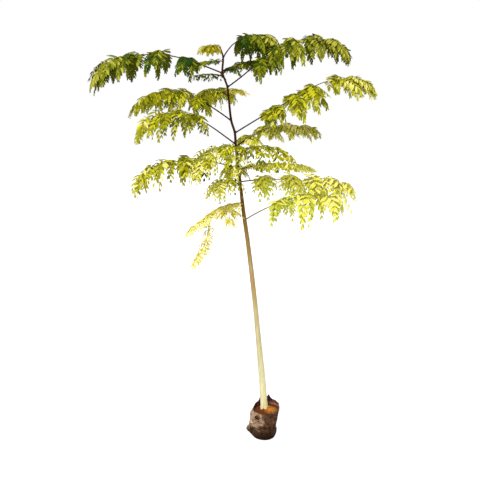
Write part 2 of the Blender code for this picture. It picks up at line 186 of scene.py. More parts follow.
def mark_faces(mesh: Mesh, name: str, flags: Sequence[bool]) -> None:
    """Store a yes or no for every face."""
    mesh.attributes.new(name, "BOOLEAN", "FACE").data.foreach_set("value", flags)


def shade_smooth(mesh: Mesh) -> None:
    """Round off the shading of every face."""
    mesh.polygons.foreach_set("use_smooth", [True] * len(mesh.polygons))


def evaluated(source: Object, name: str) -> Object:
    """Plain object that holds what another's modifiers make of it; the other is used up."""
    graph = bpy.context.evaluated_depsgraph_get()
    mesh = bpy.data.meshes.new_from_object(source.evaluated_get(graph), depsgraph=graph)
    mesh.name = name
    bpy.data.objects.remove(source, do_unlink=True)
    return new_object(name, mesh)


def settle(piece: Object, slot: str, *nodes: str) -> None:
    """Tie a finished piece to the plant's body and hide the nodes it stands for."""
    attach(piece, BODY)
    if nodes:
        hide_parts(*nodes)
    mesh = piece.data
    mesh.calc_loop_triangles()
    log.info("%s: %d triangles", piece.name, len(mesh.loop_triangles))


def settled(name: str, mesh: Mesh, material: Material, slot: str,
            *nodes: str) -> Object:
    """Piece made of a mesh in one material, and settled."""
    mesh.materials.append(material)
    piece = new_object(name, mesh)
    settle(piece, slot, *nodes)
    return piece


class Tube:
    """Closed round skins along paths, with relief."""

    def __init__(self, sides: int) -> None:
        self.sides = sides
        self.points: list[Vector] = []
        self.faces: list[Face] = []

    def skin(self, path: Sequence[Vector], radius: Callable[[int, float], float],
             reference: Vector) -> None:
        """Add one closed tube.

        Args:
            path: its centre line.
            radius: gives the radius from a ring's number and an angle round it.
            reference: the direction that angle 0 faces, as near as the path allows.
        """
        rings = rings_from(len(self.points), len(path), self.sides)
        for number, centre in enumerate(path):
            behind, ahead = path[max(number - 1, 0)], path[min(number + 1, len(path) - 1)]
            tangent = (ahead - behind).normalized()
            across = (reference - reference.dot(tangent) * tangent).normalized()
            over = tangent.cross(across)
            for angle in turns(self.sides):
                way = across * math.cos(angle) + over * math.sin(angle)
                self.points.append(centre + way * radius(number, angle))
        self.faces += bands(rings)
        for end, ring in ((path[0], rings[0][::-1]), (path[-1], rings[-1])):
            self.faces += lid(ring, len(self.points))
            self.points.append(end.copy())

    def mesh(self, name: str) -> Mesh:
        """All tubes so far, as one smooth mesh."""
        mesh = mesh_from(name, self.points, [], self.faces)
        shade_smooth(mesh)
        return mesh


# ---------------------------------------------------------------- node trees

class Wiring:
    """Adds nodes to one tree and feeds their inputs."""

    def __init__(self, tree: NodeTree) -> None:
        self.tree = tree

    def add(self, kind: str, feeds: Mapping[str | int, object] | None = None,
            **settings: object) -> Node:
        """Add one node.

        Args:
            kind: its type.
            feeds: for inputs by name or number, a socket to link or a plain value.
            settings: its options.

        Returns:
            The new node.
        """
        node = self.tree.nodes.new(kind)
        for name, value in settings.items():
            setattr(node, name, value)
        for name, value in (feeds or {}).items():
            self.feed(node, name, value)
        return node

    def feed(self, node: Node, name: str | int, value: object) -> None:
        """Link a socket to one input of a node, or set its value."""
        if isinstance(name, int):
            socket = node.inputs[name]
        else:
            socket = next(item for item in node.inputs if item.name == name and item.enabled)
        if isinstance(value, NodeSocket):
            self.tree.links.new(value, socket)
        else:
            socket.default_value = value

    def out(self, kind: str, feeds: Mapping[str | int, object] | None = None,
            **settings: object) -> NodeSocket:
        """Add one node and return its first working output."""
        node = self.add(kind, feeds, **settings)
        return next(item for item in node.outputs if item.enabled)

    def sum(self, operation: str, *values: object) -> NodeSocket:
        """Result of a Math node on numbers and sockets."""
        return self.out("ShaderNodeMath", dict(enumerate(values)), operation=operation)

    def vector(self, operation: str, *values: object) -> NodeSocket:
        """Result of a Vector Math node."""
        return self.out("ShaderNodeVectorMath", dict(enumerate(values)), operation=operation)

    def scaled(self, vector: object, factor: object) -> NodeSocket:
        """Vector times a number."""
        return self.out("ShaderNodeVectorMath", {0: vector, "Scale": factor}, operation="SCALE")

    def ranged(self, value: object, low: float, high: float, start: object = 0.0,
               end: object = 1.0) -> NodeSocket:
        """Value mapped from low..high to start..end, and held there."""
        return self.out("ShaderNodeMapRange", {"Value": value, "From Min": low, "From Max": high,
                                               "To Min": start, "To Max": end})

    def exceeds(self, value: object, limit: object) -> NodeSocket:
        """Whether a value lies above a limit."""
        return self.out("FunctionNodeCompare", {"A": value, "B": limit}, data_type="FLOAT",
                        operation="GREATER_THAN")

    def random(self, low: object, high: object, seed: object) -> NodeSocket:
        """Random number, or a vector where the limits are vectors."""
        kind = "FLOAT_VECTOR" if isinstance(low, tuple) else "FLOAT"
        return self.out("FunctionNodeRandomValue", {"Min": low, "Max": high, "Seed": seed}, data_type=kind)

    def mixed(self, share: object, first: object, second: object) -> NodeSocket:
        """Colour between two others."""
        return self.out("ShaderNodeMix", {"Factor": share, "A": first, "B": second}, data_type="RGBA")

    def here(self) -> NodeSocket:
        """The shaded place, in the object's own coordinates."""
        return self.add("ShaderNodeTexCoord").outputs["Object"]

    def axis(self, vector: NodeSocket, name: str) -> NodeSocket:
        """One part of a vector."""
        return self.add("ShaderNodeSeparateXYZ", {0: vector}).outputs[name]

    def clouds(self, place: object, scale: object, detail: float, roughness: float = 0.5) -> NodeSocket:
        """Noise round a place."""
        return self.out("ShaderNodeTexNoise", {"Vector": place, "Scale": scale, "Detail": detail,
                                               "Roughness": roughness})

    def ramp(self, share: object, stops: Sequence[tuple[float, Colour]]) -> NodeSocket:
        """Colour read from a row of stops."""
        node = self.add("ShaderNodeValToRGB", {"Fac": share})
        band = node.color_ramp.elements
        while len(band) < len(stops):
            band.new(1.0)
        for element, (place, colour) in zip(band, stops):
            element.position = place
            element.color = (*colour, 1.0)
        return node.outputs["Color"]


class Growth:
    """A Geometry Nodes tree with named inputs, run on one object at a time."""

    def __init__(self, name: str) -> None:
        self.tree = bpy.data.node_groups.new(name, "GeometryNodeTree")
        self.wiring = Wiring(self.tree)
        for side in ("INPUT", "OUTPUT"):
            self.tree.interface.new_socket("Geometry", in_out=side, socket_type="NodeSocketGeometry")
        self.source = self.wiring.add("NodeGroupInput")
        self.sink = self.wiring.add("NodeGroupOutput")
        self.identifiers: dict[str, str] = {}

    def inputs(self, kinds: Mapping[str, str]) -> list[NodeSocket]:
        """Add named inputs of given kinds, and return the sockets that give their values."""
        for name, kind in kinds.items():
            item = self.tree.interface.new_socket(name, in_out="INPUT", socket_type=f"NodeSocket{kind}")
            self.identifiers[name] = item.identifier
        return [self.source.outputs[name] for name in kinds]

    def attribute(self, name: str, kind: str = "FLOAT") -> NodeSocket:
        """Socket that reads a named attribute."""
        return self.wiring.out("GeometryNodeInputNamedAttribute", {"Name": name}, data_type=kind)

    def finish(self, geometry: NodeSocket, paints: Sequence[tuple[object, Material]]) -> None:
        """Make what was grown the tree's result, realized and painted.

        Args:
            geometry: what was grown.
            paints: for each material what it goes to, True for everything.
        """
        grown = self.wiring.out("GeometryNodeRealizeInstances", {"Geometry": geometry})
        for chosen, material in paints:
            grown = self.wiring.out("GeometryNodeSetMaterial", {
                "Geometry": grown, "Selection": chosen, "Material": material})
        self.tree.links.new(grown, self.sink.inputs["Geometry"])

    def grow(self, seed: Object, name: str, values: Mapping[str, object]) -> Object:
        """Run the tree on an object, which is used up.

        Args:
            seed: the object that holds the paths.
            name: the finished piece's name.
            values: a value for each named input.

        Returns:
            A plain mesh object.
        """
        modifier = seed.modifiers.new("growth", "NODES")
        modifier.node_group = self.tree
        for key, value in values.items():
            modifier[self.identifiers[key]] = value
        return evaluated(seed, name)


# ---------------------------------------------------------------- finishes

class Effects:
    """Shader effects that several finishes share, each built once as a node group."""
    cloud_edges: Pair = (0.36, 0.64)    # noise at which a mottle leaves one colour and reaches the next
    patch_edges: Pair = (0.22, 0.78)    # the same for patches of dust
    grain_edges: Pair = (0.35, 0.65)    # and for its grains
    grain_scale: float = 900.0
    grain_share: float = 0.12       # how far single grains change the dust's cover
    upward_share: float = 0.35      # how much more dust lies on what faces up
    bare_below: float = 0.75        # amount of dust that still leaves the surface bare
    full_after: float = 0.7         # further amount that hides it
    dust_roughness: float = 0.92

    def __init__(self) -> None:
        self.mottle = self._mottle()
        self.dust = self._dust()
        self.relief = self._relief()

    @staticmethod
    def _group(name: str, inputs: Mapping[str, str], outputs: Mapping[str, str]
               ) -> tuple[NodeTree, Wiring, NodeOutputs]:
        """Empty group with its inputs and outputs.

        Args:
            name: the group's name.
            inputs: for each input its kind of socket; whoever places the group feeds them all.
            outputs: for each output its kind.

        Returns:
            The group's tree, what wires it and the sockets that give its inputs.
        """
        tree = bpy.data.node_groups.new(name, "ShaderNodeTree")
        for side, sockets in (("INPUT", inputs), ("OUTPUT", outputs)):
            for label, kind in sockets.items():
                tree.interface.new_socket(label, in_out=side, socket_type=f"NodeSocket{kind}")
        wiring = Wiring(tree)
        return tree, wiring, wiring.add("NodeGroupInput").outputs

    def _mottle(self) -> NodeTree:
        """Cloudy mix of two colours."""
        tree, wiring, given = self._group(
            "mottle", {"Scale": "Float", "Stretch": "Vector", "Low": "Color", "High": "Color"},
            {"Colour": "Color"})
        stretched = wiring.vector("MULTIPLY", wiring.here(), given["Stretch"])
        mask = wiring.ranged(wiring.clouds(stretched, given["Scale"], 4.0, 0.6), *self.cloud_edges)
        wiring.add("NodeGroupOutput", {"Colour": wiring.mixed(mask, given["Low"], given["High"])})
        return tree

    def _dust(self) -> NodeTree:
        """Dry dust that lies thicker on what faces up and clings in patches."""
        tree, wiring, given = self._group(
            "dust", {"Clean": "Color", "Dust": "Color", "Gloss": "Float", "Cover": "Float", "Scale": "Float"},
            {"Colour": "Color", "Roughness": "Float"})
        place = wiring.here()
        upward = wiring.axis(wiring.add("ShaderNodeNewGeometry").outputs["Normal"], "Z")
        patches = wiring.ranged(wiring.clouds(place, given["Scale"], 5.0, 0.58), *self.patch_edges)
        grains = wiring.ranged(wiring.clouds(place, self.grain_scale, 2.0), *self.grain_edges,
                               -self.grain_share, self.grain_share)
        amount = wiring.sum("ADD", wiring.sum("MULTIPLY", upward, self.upward_share), patches)
        amount = wiring.sum("ADD", wiring.sum("ADD", amount, grains), given["Cover"])
        share = wiring.ranged(wiring.sum("SUBTRACT", amount, self.bare_below), 0.0, self.full_after)
        colour = wiring.mixed(share, given["Clean"], given["Dust"])
        roughness = wiring.ranged(share, 0.0, 1.0, given["Gloss"], self.dust_roughness)
        wiring.add("NodeGroupOutput", {"Colour": colour, "Roughness": roughness})
        return tree

    def _relief(self) -> NodeTree:
        """Fine uneven height for a Bump node."""
        tree, wiring, given = self._group(
            "relief", {"Scale": "Float", "Stretch": "Vector"}, {"Height": "Float"})
        stretched = wiring.vector("MULTIPLY", wiring.here(), given["Stretch"])
        wiring.add("NodeGroupOutput", {"Height": wiring.clouds(stretched, given["Scale"], 5.0, 0.62)})
        return tree


class Finish:
    """A material, made of one Principled shader and what feeds it."""

    def __init__(self, name: str, effects: Effects) -> None:
        self.material = bpy.data.materials.new(name)
        self.material.use_nodes = True
        self.wiring = Wiring(self.material.node_tree)
        self.shader = self.material.node_tree.nodes["Principled BSDF"]
        self.effects = effects

    def set(self, **sockets: object) -> None:
        """Feed or set the shader's inputs; underscores stand for spaces."""
        for name, value in sockets.items():
            self.wiring.feed(self.shader, name.replace("_", " "), value)

    def group(self, tree: NodeTree, **feeds: object) -> NodeOutputs:
        """Place a shared effect with this finish's own values, and return its outputs."""
        node = self.wiring.add("ShaderNodeGroup", feeds, node_tree=tree)
        return node.outputs

    def mottled(self, scale: float, low: object, high: object, stretch: Triple = ONES) -> NodeSocket:
        """Cloudy colour between two others."""
        low, high = ((*tone, 1.0) if isinstance(tone, tuple) else tone for tone in (low, high))
        return self.group(self.effects.mottle, Scale=scale, Low=low, High=high, Stretch=stretch)["Colour"]

    def dusted(self, clean: NodeSocket, dust: Colour, gloss: float, cover: object,
               scale: float) -> NodeSocket:
        """Colour with dust over it; the dust also sets the roughness."""
        dusty = self.group(self.effects.dust, Clean=clean, Dust=(*dust, 1.0), Gloss=gloss, Cover=cover,
                           Scale=scale)
        self.set(Roughness=dusty["Roughness"])
        return dusty["Colour"]

    def bumped(self, scale: float, depth: float, stretch: Triple, strength: float) -> None:
        """Roughen the surface with fine relief of a depth in metres."""
        height = self.group(self.effects.relief, Scale=scale, Stretch=stretch)["Height"]
        bump = self.wiring.out("ShaderNodeBump", {"Height": height, "Distance": depth, "Strength": strength})
        self.set(Normal=bump)

    def across(self, axis: str, *limits: float) -> NodeSocket:
        """One of the object's own coordinates, mapped between limits as by Wiring.ranged."""
        return self.wiring.ranged(self.wiring.axis(self.wiring.here(), axis), *limits)

    def away(self, centre: Triple) -> NodeSocket:
        """Distance from a place in the object's own coordinates."""
        return self.wiring.vector("DISTANCE", self.wiring.here(), centre)


@dataclass(frozen=True, kw_only=True)
class Surface:
    """What every finish has; each kind adds its own colour."""
    name: str
    roughness: float = 0.50
    specular: float = 0.04
    grain: float = 0.0006           # depth of the fine relief in metres
    grain_scale: float = 240.0
    grain_stretch: Triple = ONES
    grain_strength: float = 1.0

    def colour_of(self, finish: Finish) -> NodeSocket:
        """Wire the colour of a material."""
        raise NotImplementedError

    def build(self, effects: Effects) -> Material:
        """Make the material."""
        finish = Finish(self.name, effects)
        finish.set(Roughness=self.roughness, Specular_IOR_Level=self.specular)
        finish.set(Base_Color=self.colour_of(finish))
        finish.bumped(self.grain_scale, self.grain, self.grain_stretch, self.grain_strength)
        return finish.material


@dataclass(frozen=True, kw_only=True)
class LeafletFinish(Surface):
    """Thin leaflet skin of one plain colour, faintly mottled."""
    colour: Colour
    roughness: float = 0.58
    specular: float = 0.08
    grain: float = 0.0002
    grain_scale: float = 700.0
    grain_strength: float = 0.5
    mottle_scale: float = 190.0
    darker: float = 0.80            # how much darker and paler the mottle goes
    paler: float = 1.16

    def colour_of(self, finish: Finish) -> NodeSocket:
        """Wire the mottled colour."""
        low = tuple(part * self.darker for part in self.colour)
        high = tuple(min(1.0, part * self.paler) for part in self.colour)
        return finish.mottled(self.mottle_scale, low, high)


@dataclass(frozen=True, kw_only=True)
class HeightFinish(Surface):
    """Bark or green rind whose colour changes up the plant."""
    stops: tuple[tuple[float, Colour], ...]     # height in metres, colour there
    grain_scale: float = 420.0
    grain_stretch: Triple = (1.0, 1.0, 0.3)
    streak: float                   # how much the streaks darken it
    streak_tone: Colour = (0.02, 0.012, 0.008)
    streak_scale: float = 160.0
    streak_stretch: Triple = (1.0, 1.0, 0.12)
    speck_tone: Colour = (0.75, 0.66, 0.48)
    speck_mix: float = 0.25         # share of that tone in a speck
    speck_cover: float = 0.26       # how strongly the specks show
    speck_edges: Pair = (0.10, 0.20)
    speck_scale: float = 260.0
    speck_stretch: Triple = (1.0, 1.0, 0.7)

    def colour_of(self, finish: Finish) -> NodeSocket:
        """Wire the colour for each height, streaked and specked."""
        wiring = finish.wiring
        low, high = self.stops[0][0], self.stops[-1][0]
        stops = [((height - low) / (high - low), colour) for height, colour in self.stops]
        colour = wiring.ramp(finish.across("Z", low, high), stops)
        shaded = wiring.mixed(self.streak, colour, (*self.streak_tone, 1.0))
        streaks = finish.mottled(self.streak_scale, shaded, colour, self.streak_stretch)
        stretched = wiring.vector("MULTIPLY", wiring.here(), self.speck_stretch)
        spots = wiring.out("ShaderNodeTexVoronoi", {"Vector": stretched, "Scale": self.speck_scale})
        specks = wiring.ranged(spots, *self.speck_edges, self.speck_cover, 0.0)
        pale = wiring.mixed(self.speck_mix, colour, (*self.speck_tone, 1.0))
        return wiring.mixed(specks, streaks, pale)


@dataclass(frozen=True, kw_only=True)
class FilmFinish(Surface):
    """Dusty polythene film: nearly black low down as painted shade, tan with dust higher up and to the left,
    partly painted light.
    """
    specular: float = 0.02
    # nearly black: the painted shade on the bottom of the bag
    film: Colour = (0.012, 0.0050, 0.0015)
    scuffed: Colour = (0.026, 0.010, 0.003)
    worn: Colour = (0.095, 0.048, 0.026)
    scuff_scale: float = 80.0
    dust: Colour = (0.47, 0.33, 0.215)
    dust_scale: float = 62.0
    gloss: float = 0.42
    dusty: Pair = (0.012, 0.066)     # heights over which the film goes from nearly black, a painted shade, to scuffed and dusty
    climb: float = 0.66             # dust that the higher of them has more than the lower
    cover: float = 0.43
    cover_low: float = -0.72        # added to the cover at the lower of them, which leaves the painted shade low down bare
    left: tuple[float, ...] = (-0.030, 0.012, 0.14, -0.40)  # two places, dust there; more on the left, partly painted light from the left
    right: tuple[float, ...] = (0.030, 0.052, 0.0, 0.30)
    patch: Triple = (-0.008, -0.048, 0.086)     # where it lies thickest
    patch_reach: float = 0.020
    patch_cover: float = 0.42

    def colour_of(self, finish: Finish) -> NodeSocket:
        """Wire the film's colour, nearly black low down as painted shade, and the dust on it."""
        wiring = finish.wiring
        height = finish.across("Z", *self.dusty)
        # dust across the bag: more on the left, partly painted light from the left, less in the middle, a
        # little more at the right edge
        side = wiring.sum("ADD", finish.across("X", *self.left), finish.across("X", *self.right))
        patch = wiring.ranged(finish.away(self.patch), 0.0, self.patch_reach, self.patch_cover, 0.0)
        side = wiring.sum("ADD", side, patch)
        scuffs = finish.mottled(self.scuff_scale, self.scuffed, self.worn)
        # painted shade: nearly black low down, scuffed film higher up
        film = wiring.mixed(height, (*self.film, 1.0), scuffs)
        cover = wiring.sum("ADD", wiring.sum("MULTIPLY_ADD", height, self.climb, self.cover_low), side)
        cover = wiring.sum("ADD", cover, self.cover)
        return finish.dusted(film, self.dust, self.gloss, cover, self.dust_scale)


@dataclass(frozen=True, kw_only=True)
class LiningFinish(Surface):
    """Inner side of the film, dark purple-brown, with soil dust low down on the right."""
    specular: float = 0.30
    low: Colour = (0.014, 0.006, 0.008)
    high: Colour = (0.050, 0.018, 0.018)
    mottle_scale: float = 60.0
    dust: Colour = (0.34, 0.150, 0.070)
    dust_scale: float = 120.0
    gloss: float = 0.36
    upward: tuple[float, ...] = (0.104, 0.122, 0.34, -0.20)     # two heights, dust there
    right: tuple[float, ...] = (-0.010, 0.036, -0.10, 0.46)     # two places, dust there

    def colour_of(self, finish: Finish) -> NodeSocket:
        """Wire the lining's colour and the soil dust on it."""
        film = finish.mottled(self.mottle_scale, self.low, self.high)
        cover = finish.wiring.sum("ADD", finish.across("Z", *self.upward), finish.across("X", *self.right))
        return finish.dusted(film, self.dust, self.gloss, cover, self.dust_scale)


@dataclass(frozen=True, kw_only=True)
class SoilFinish(Surface):
    """Crumbly orange clay soil with damp and dry clods, darker below its top, with painted shade at its rim
    and on the left.
    """
    specular: float = 0.20
    grain: float = 0.0009
    grain_scale: float = 900.0
    deep: Colour = (0.030, 0.010, 0.004)
    # dark clod colour, also the colour of the painted shade at the rim and on the left
    damp: Colour = (0.070, 0.013, 0.002)
    dry: Colour = (0.48, 0.135, 0.004)
    clod_scale: float = 110.0
    dust: Colour = (0.60, 0.25, 0.030)
    dust_scale: float = 200.0
    dust_cover: float = 0.26
    gloss: float = 0.85
    middle: Triple = (0.025, -0.009, 0.106)     # middle of the soil that has no painted shade
    spread: float = 0.031           # how far from it the painted shade is full
    dry_share: float = 0.35         # share of that distance that has no painted shade
    # how dark the painted shade at the rim and on the left gets
    dampness: float = 0.92
    top: Pair = (0.086, 0.096)       # heights between which the deep colour ends

    def colour_of(self, finish: Finish) -> NodeSocket:
        """Wire the clods, the dust, the painted shade at the rim and on the left, and the darker soil below.
        """
        wiring = finish.wiring
        clods = finish.mottled(self.clod_scale, self.damp, self.dry)
        dusty = finish.dusted(clods, self.dust, self.gloss, self.dust_cover, self.dust_scale)
        # painted shade: darker towards the rim and the left, away from the middle on the right
        painted_shade = wiring.ranged(finish.away(self.middle), self.spread * self.dry_share, self.spread,
                            0.0, self.dampness)
        surface = wiring.mixed(painted_shade, dusty, (*self.damp, 1.0))
        return wiring.mixed(finish.across("Z", *self.top), (*self.deep, 1.0), surface)


BARK = HeightFinish(name="bark", roughness=0.62, streak=0.22, grain=0.0005, stops=(
    (0.100, (0.64, 0.50, 0.22)), (0.130, (0.64, 0.57, 0.31)), (0.220, (0.62, 0.57, 0.33)),
    (0.340, (0.52, 0.46, 0.24)), (0.440, (0.49, 0.41, 0.21)), (0.520, (0.41, 0.32, 0.130)),
    (0.580, (0.36, 0.23, 0.085)), (0.640, (0.38, 0.26, 0.110)), (0.700, (0.28, 0.185, 0.055)),
    (0.800, (0.21, 0.120, 0.022)), (0.880, (0.155, 0.060, 0.014)), (0.980, (0.085, 0.028, 0.010)),
    (1.060, (0.036, 0.011, 0.005)), (1.220, (0.024, 0.006, 0.003)), (1.380, (0.040, 0.012, 0.005))))
STALK = HeightFinish(name="stalk", streak=0.25, grain=0.0002, stops=(
    (0.780, (0.26, 0.21, 0.13)), (0.950, (0.15, 0.10, 0.070)), (1.060, (0.040, 0.015, 0.009)),
    (1.200, (0.022, 0.006, 0.003)), (1.400, (0.022, 0.006, 0.003))))
YOUNG = HeightFinish(name="young stalk", streak=0.15, grain=0.0002, stops=(
    (0.700, (0.52, 0.46, 0.090)), (0.900, (0.62, 0.47, 0.030))))
MIDRIB = HeightFinish(name="midrib", roughness=0.55, streak=0.20, grain=0.0001, stops=(
    (0.780, (0.46, 0.44, 0.030)), (0.980, (0.32, 0.31, 0.020)), (1.160, (0.18, 0.17, 0.010)),
    (1.300, (0.060, 0.062, 0.006)), (1.400, (0.045, 0.045, 0.006))))
RIB = HeightFinish(name="rib", streak=0.20, grain=0.0001, stops=(
    (0.780, (0.36, 0.34, 0.060)), (0.980, (0.24, 0.23, 0.050)), (1.160, (0.11, 0.095, 0.026)),
    (1.300, (0.055, 0.040, 0.020)), (1.400, (0.080, 0.040, 0.018))))


class Tint(Enum):
    """Kinds of foliage, from the dark crown to the yellow lowest leaves.

    Each holds the colours that its pinnae are dealt, inner ones first, partly painted shade and light, and
    their underside's.
    """
    # From darker to paler: the leaves' own tones, spread as painted shade and painted light for shaded and
    # lit leaflets;
    # the palest of each, pinkish tan in MID, is partly a painted highlight.
    DARK = (((0.008, 0.038, 0.001), (0.048, 0.078, 0.001), (0.170, 0.180, 0.003), (0.340, 0.325, 0.035)),
            (0.125, 0.145, 0.002))
    MID = (((0.075, 0.085, 0.001), (0.235, 0.232, 0.001), (0.430, 0.412, 0.012), (0.650, 0.600, 0.160)),
           (0.480, 0.478, 0.018))
    LIGHT = (((0.310, 0.350, 0.020), (0.460, 0.480, 0.040), (0.620, 0.590, 0.060), (0.720, 0.650, 0.170)),
             (0.610, 0.600, 0.070))
    GOLD = (((0.270, 0.250, 0.006), (0.480, 0.430, 0.012), (0.720, 0.620, 0.040), (0.800, 0.710, 0.180)),
            (0.800, 0.690, 0.050))

    @property
    def label(self) -> str:
        """Plain name of this foliage."""
        return self.name.lower()

    def tops(self, effects: Effects) -> list[Material]:
        """Materials of the upper sides, one for each colour."""
        return [LeafletFinish(name=f"leaflet_{self.label}_{number}", colour=colour).build(effects)
                for number, colour in enumerate(self.value[0])]

    def underside(self, effects: Effects) -> Material:
        """Material of the paler, duller underside, painted brighter still as light shining through the
        leaflet.
        """
        return LeafletFinish(name=f"leaflet_{self.label}_under", colour=self.value[1],
                             roughness=0.62).build(effects)


# ---------------------------------------------------------------- stem

@dataclass(frozen=True)
class Stem:
    """The leaning stem: bark with scars, warts and a flared foot."""
    joints: tuple[tuple[float, ...], ...] = (       # height, place across, depth, radius
        (0.107, 0.0010, 0.0000, 0.0158), (0.121, 0.0005, 0.0000, 0.0131),
        (0.220, -0.0070, 0.0006, 0.0117), (0.340, -0.0182, 0.0012, 0.0098),
        (0.486, -0.0320, 0.0016, 0.0083), (0.615, -0.0462, 0.0010, 0.0079),
        (0.740, -0.0615, 0.0002, 0.0071), (0.831, -0.0745, -0.0006, 0.0066),
        (0.913, -0.0842, -0.0010, 0.0056), (0.981, -0.0918, -0.0004, 0.0050),
        (1.060, -0.1015, 0.0006, 0.0045), (1.104, -0.1045, 0.0012, 0.0040),
        (1.146, -0.1165, 0.0004, 0.0038), (1.227, -0.1255, -0.0004, 0.0034),
        (1.256, -0.1295, -0.0006, 0.0033), (1.298, -0.1440, 0.0004, 0.0034),
        (1.345, -0.1420, 0.0000, 0.0030), (1.376, -0.1500, 0.0008, 0.0013))
    sides: int = 56
    ring_step: float = 0.0022
    sunk: float = 0.006             # how far the foot reaches under the top of the soil
    tip_round: float = 0.004        # height over which the tip closes, down to a share of its radius
    tip_least: float = 0.15
    streak_turns: float = 2.6       # streaks of the bark: how fine they are round and up the stem
    streak_climb: float = 22.0
    streak_rise: float = 0.00042
    streak_levels: tuple[float, float, int] = (0.9, 2.1, 4)     # how finer streaks fade, step, number
    first_scar: float = 0.150       # height of the lowest leaf scar
    scar_step: float = 0.037
    scar_turn: float = 137.5        # each scar stands this many degrees round from the last
    scar_swell: float = 0.0011
    scar_height: float = 0.0032
    scar_reach: float = 4.0         # heights of a scar beyond which it doesn't show
    scar_tilt: float = 0.002        # how much higher its ledge lies behind
    scar_wrap: float = 0.25         # how far the ledge reaches round
    cup_rise: float = 0.0012        # the cup over a scar: its place, height, width and depth
    cup_height: float = 0.0016
    cup_width: float = 0.25
    cup_depth: float = 0.0007
    flare_lobes: int = 5
    flare_depth: float = 0.0016
    flare_height: float = 0.016
    flare_turn: float = 0.8
    wart_size: float = 0.0045
    wart_rise: float = 0.00035
    wart_reach: float = 0.34        # radius of a wart as a share of the distance between two
    wart_squash: float = 0.8

    def axis(self, height: float) -> Vector:
        """Point on the stem's axis."""
        across, depth, _ = along(self.joints, height)
        return Vector((across, depth, height))

    def radius(self, height: float) -> float:
        """Plain thickness at a height."""
        return along(self.joints, height)[2]

    def scars(self) -> list[Pair]:
        """Height and heading, in radians, of every leaf scar below the crown."""
        top = min(plan.height for plan in LEAVES if not plan.carrier)
        count = int((top - self.first_scar) / self.scar_step)
        return [(self.first_scar + number * self.scar_step, math.radians(number * self.scar_turn))
                for number in range(count)]

    def relief(self, height: float, angle: float, thickness: float,
               scars: Sequence[Pair]) -> float:
        """How far the bark stands out from the plain stem at one place."""
        around = level_at(angle)
        spot = around * thickness + UP * height
        size = thickness / self.joints[1][3]
        streaked = Vector((around.x * self.streak_turns, around.y * self.streak_turns,
                           height * self.streak_climb))
        rise = noise.fractal(streaked, *self.streak_levels) * self.streak_rise * size
        distances, _ = noise.voronoi(Vector((spot.x, spot.y, spot.z * self.wart_squash)) / self.wart_size)
        rise += self.wart_rise * size * max(0.0, 1.0 - distances[0] / self.wart_reach)
        for place, heading in scars:
            gap = height - place
            if abs(gap) < self.scar_reach * self.scar_height:
                turn = math.cos(angle - heading)
                ledge = hump(gap - self.scar_tilt * (1.0 - turn), self.scar_height)
                rise += self.scar_swell * size ** 0.5 * ledge * clamp(self.scar_wrap + turn)
                cup = hump(gap - self.cup_rise, self.cup_height) * hump(1.0 - turn, self.cup_width)
                rise -= self.cup_depth * size ** 0.5 * cup
        foot = hump(height - self.joints[0][0], self.flare_height)
        return rise + self.flare_depth * foot * math.sin(self.flare_lobes * angle + self.flare_turn)

    def build(self) -> Mesh:
        """Skin of the whole stem."""
        level, high = self.joints[0][0], self.joints[-1][0]
        low = level - self.sunk
        rings = int((high - low) / self.ring_step)
        heights = [blend(low, high, ring / rings) for ring in range(rings + 1)]
        path, radii = [], []
        for height in heights:
            path.append(self.axis(max(height, level)))
            path[-1].z = height
            end = clamp((high - height) / self.tip_round)
            radii.append(self.radius(height) * max(self.tip_least, math.sqrt(1.0 - (1.0 - end) ** 2)))
        scars = self.scars()

        def reach(ring: int, angle: float) -> float:
            """Radius with the bark's relief."""
            return radii[ring] + self.relief(heights[ring], angle, radii[ring], scars)

        tube = Tube(self.sides)
        tube.skin(path, reach, Vector((1.0, 0.0, 0.0)))
        return tube.mesh("bark")


# ---------------------------------------------------------------- leaves

@dataclass(frozen=True)
class LeafPlan:
    """One leaf: where its stalk starts, how it runs and what it carries."""
    name: str
    height: float           # start on the stem, or distance along the carrying stalk
    heading: float          # degrees from +X towards +Y
    length: float           # stalk and rachis together
    rise: tuple[float, ...]     # climb angle in degrees, at even steps along the leaf
    bare: float             # share of the length before the first pair
    pairs: int
    pinna: float            # length of the longest pinna
    hang: float             # how steeply the pinnae end, degrees below level
    tint: Tint = Tint.MID
    carrier: str = ""       # name of the leaf whose stalk carries this one


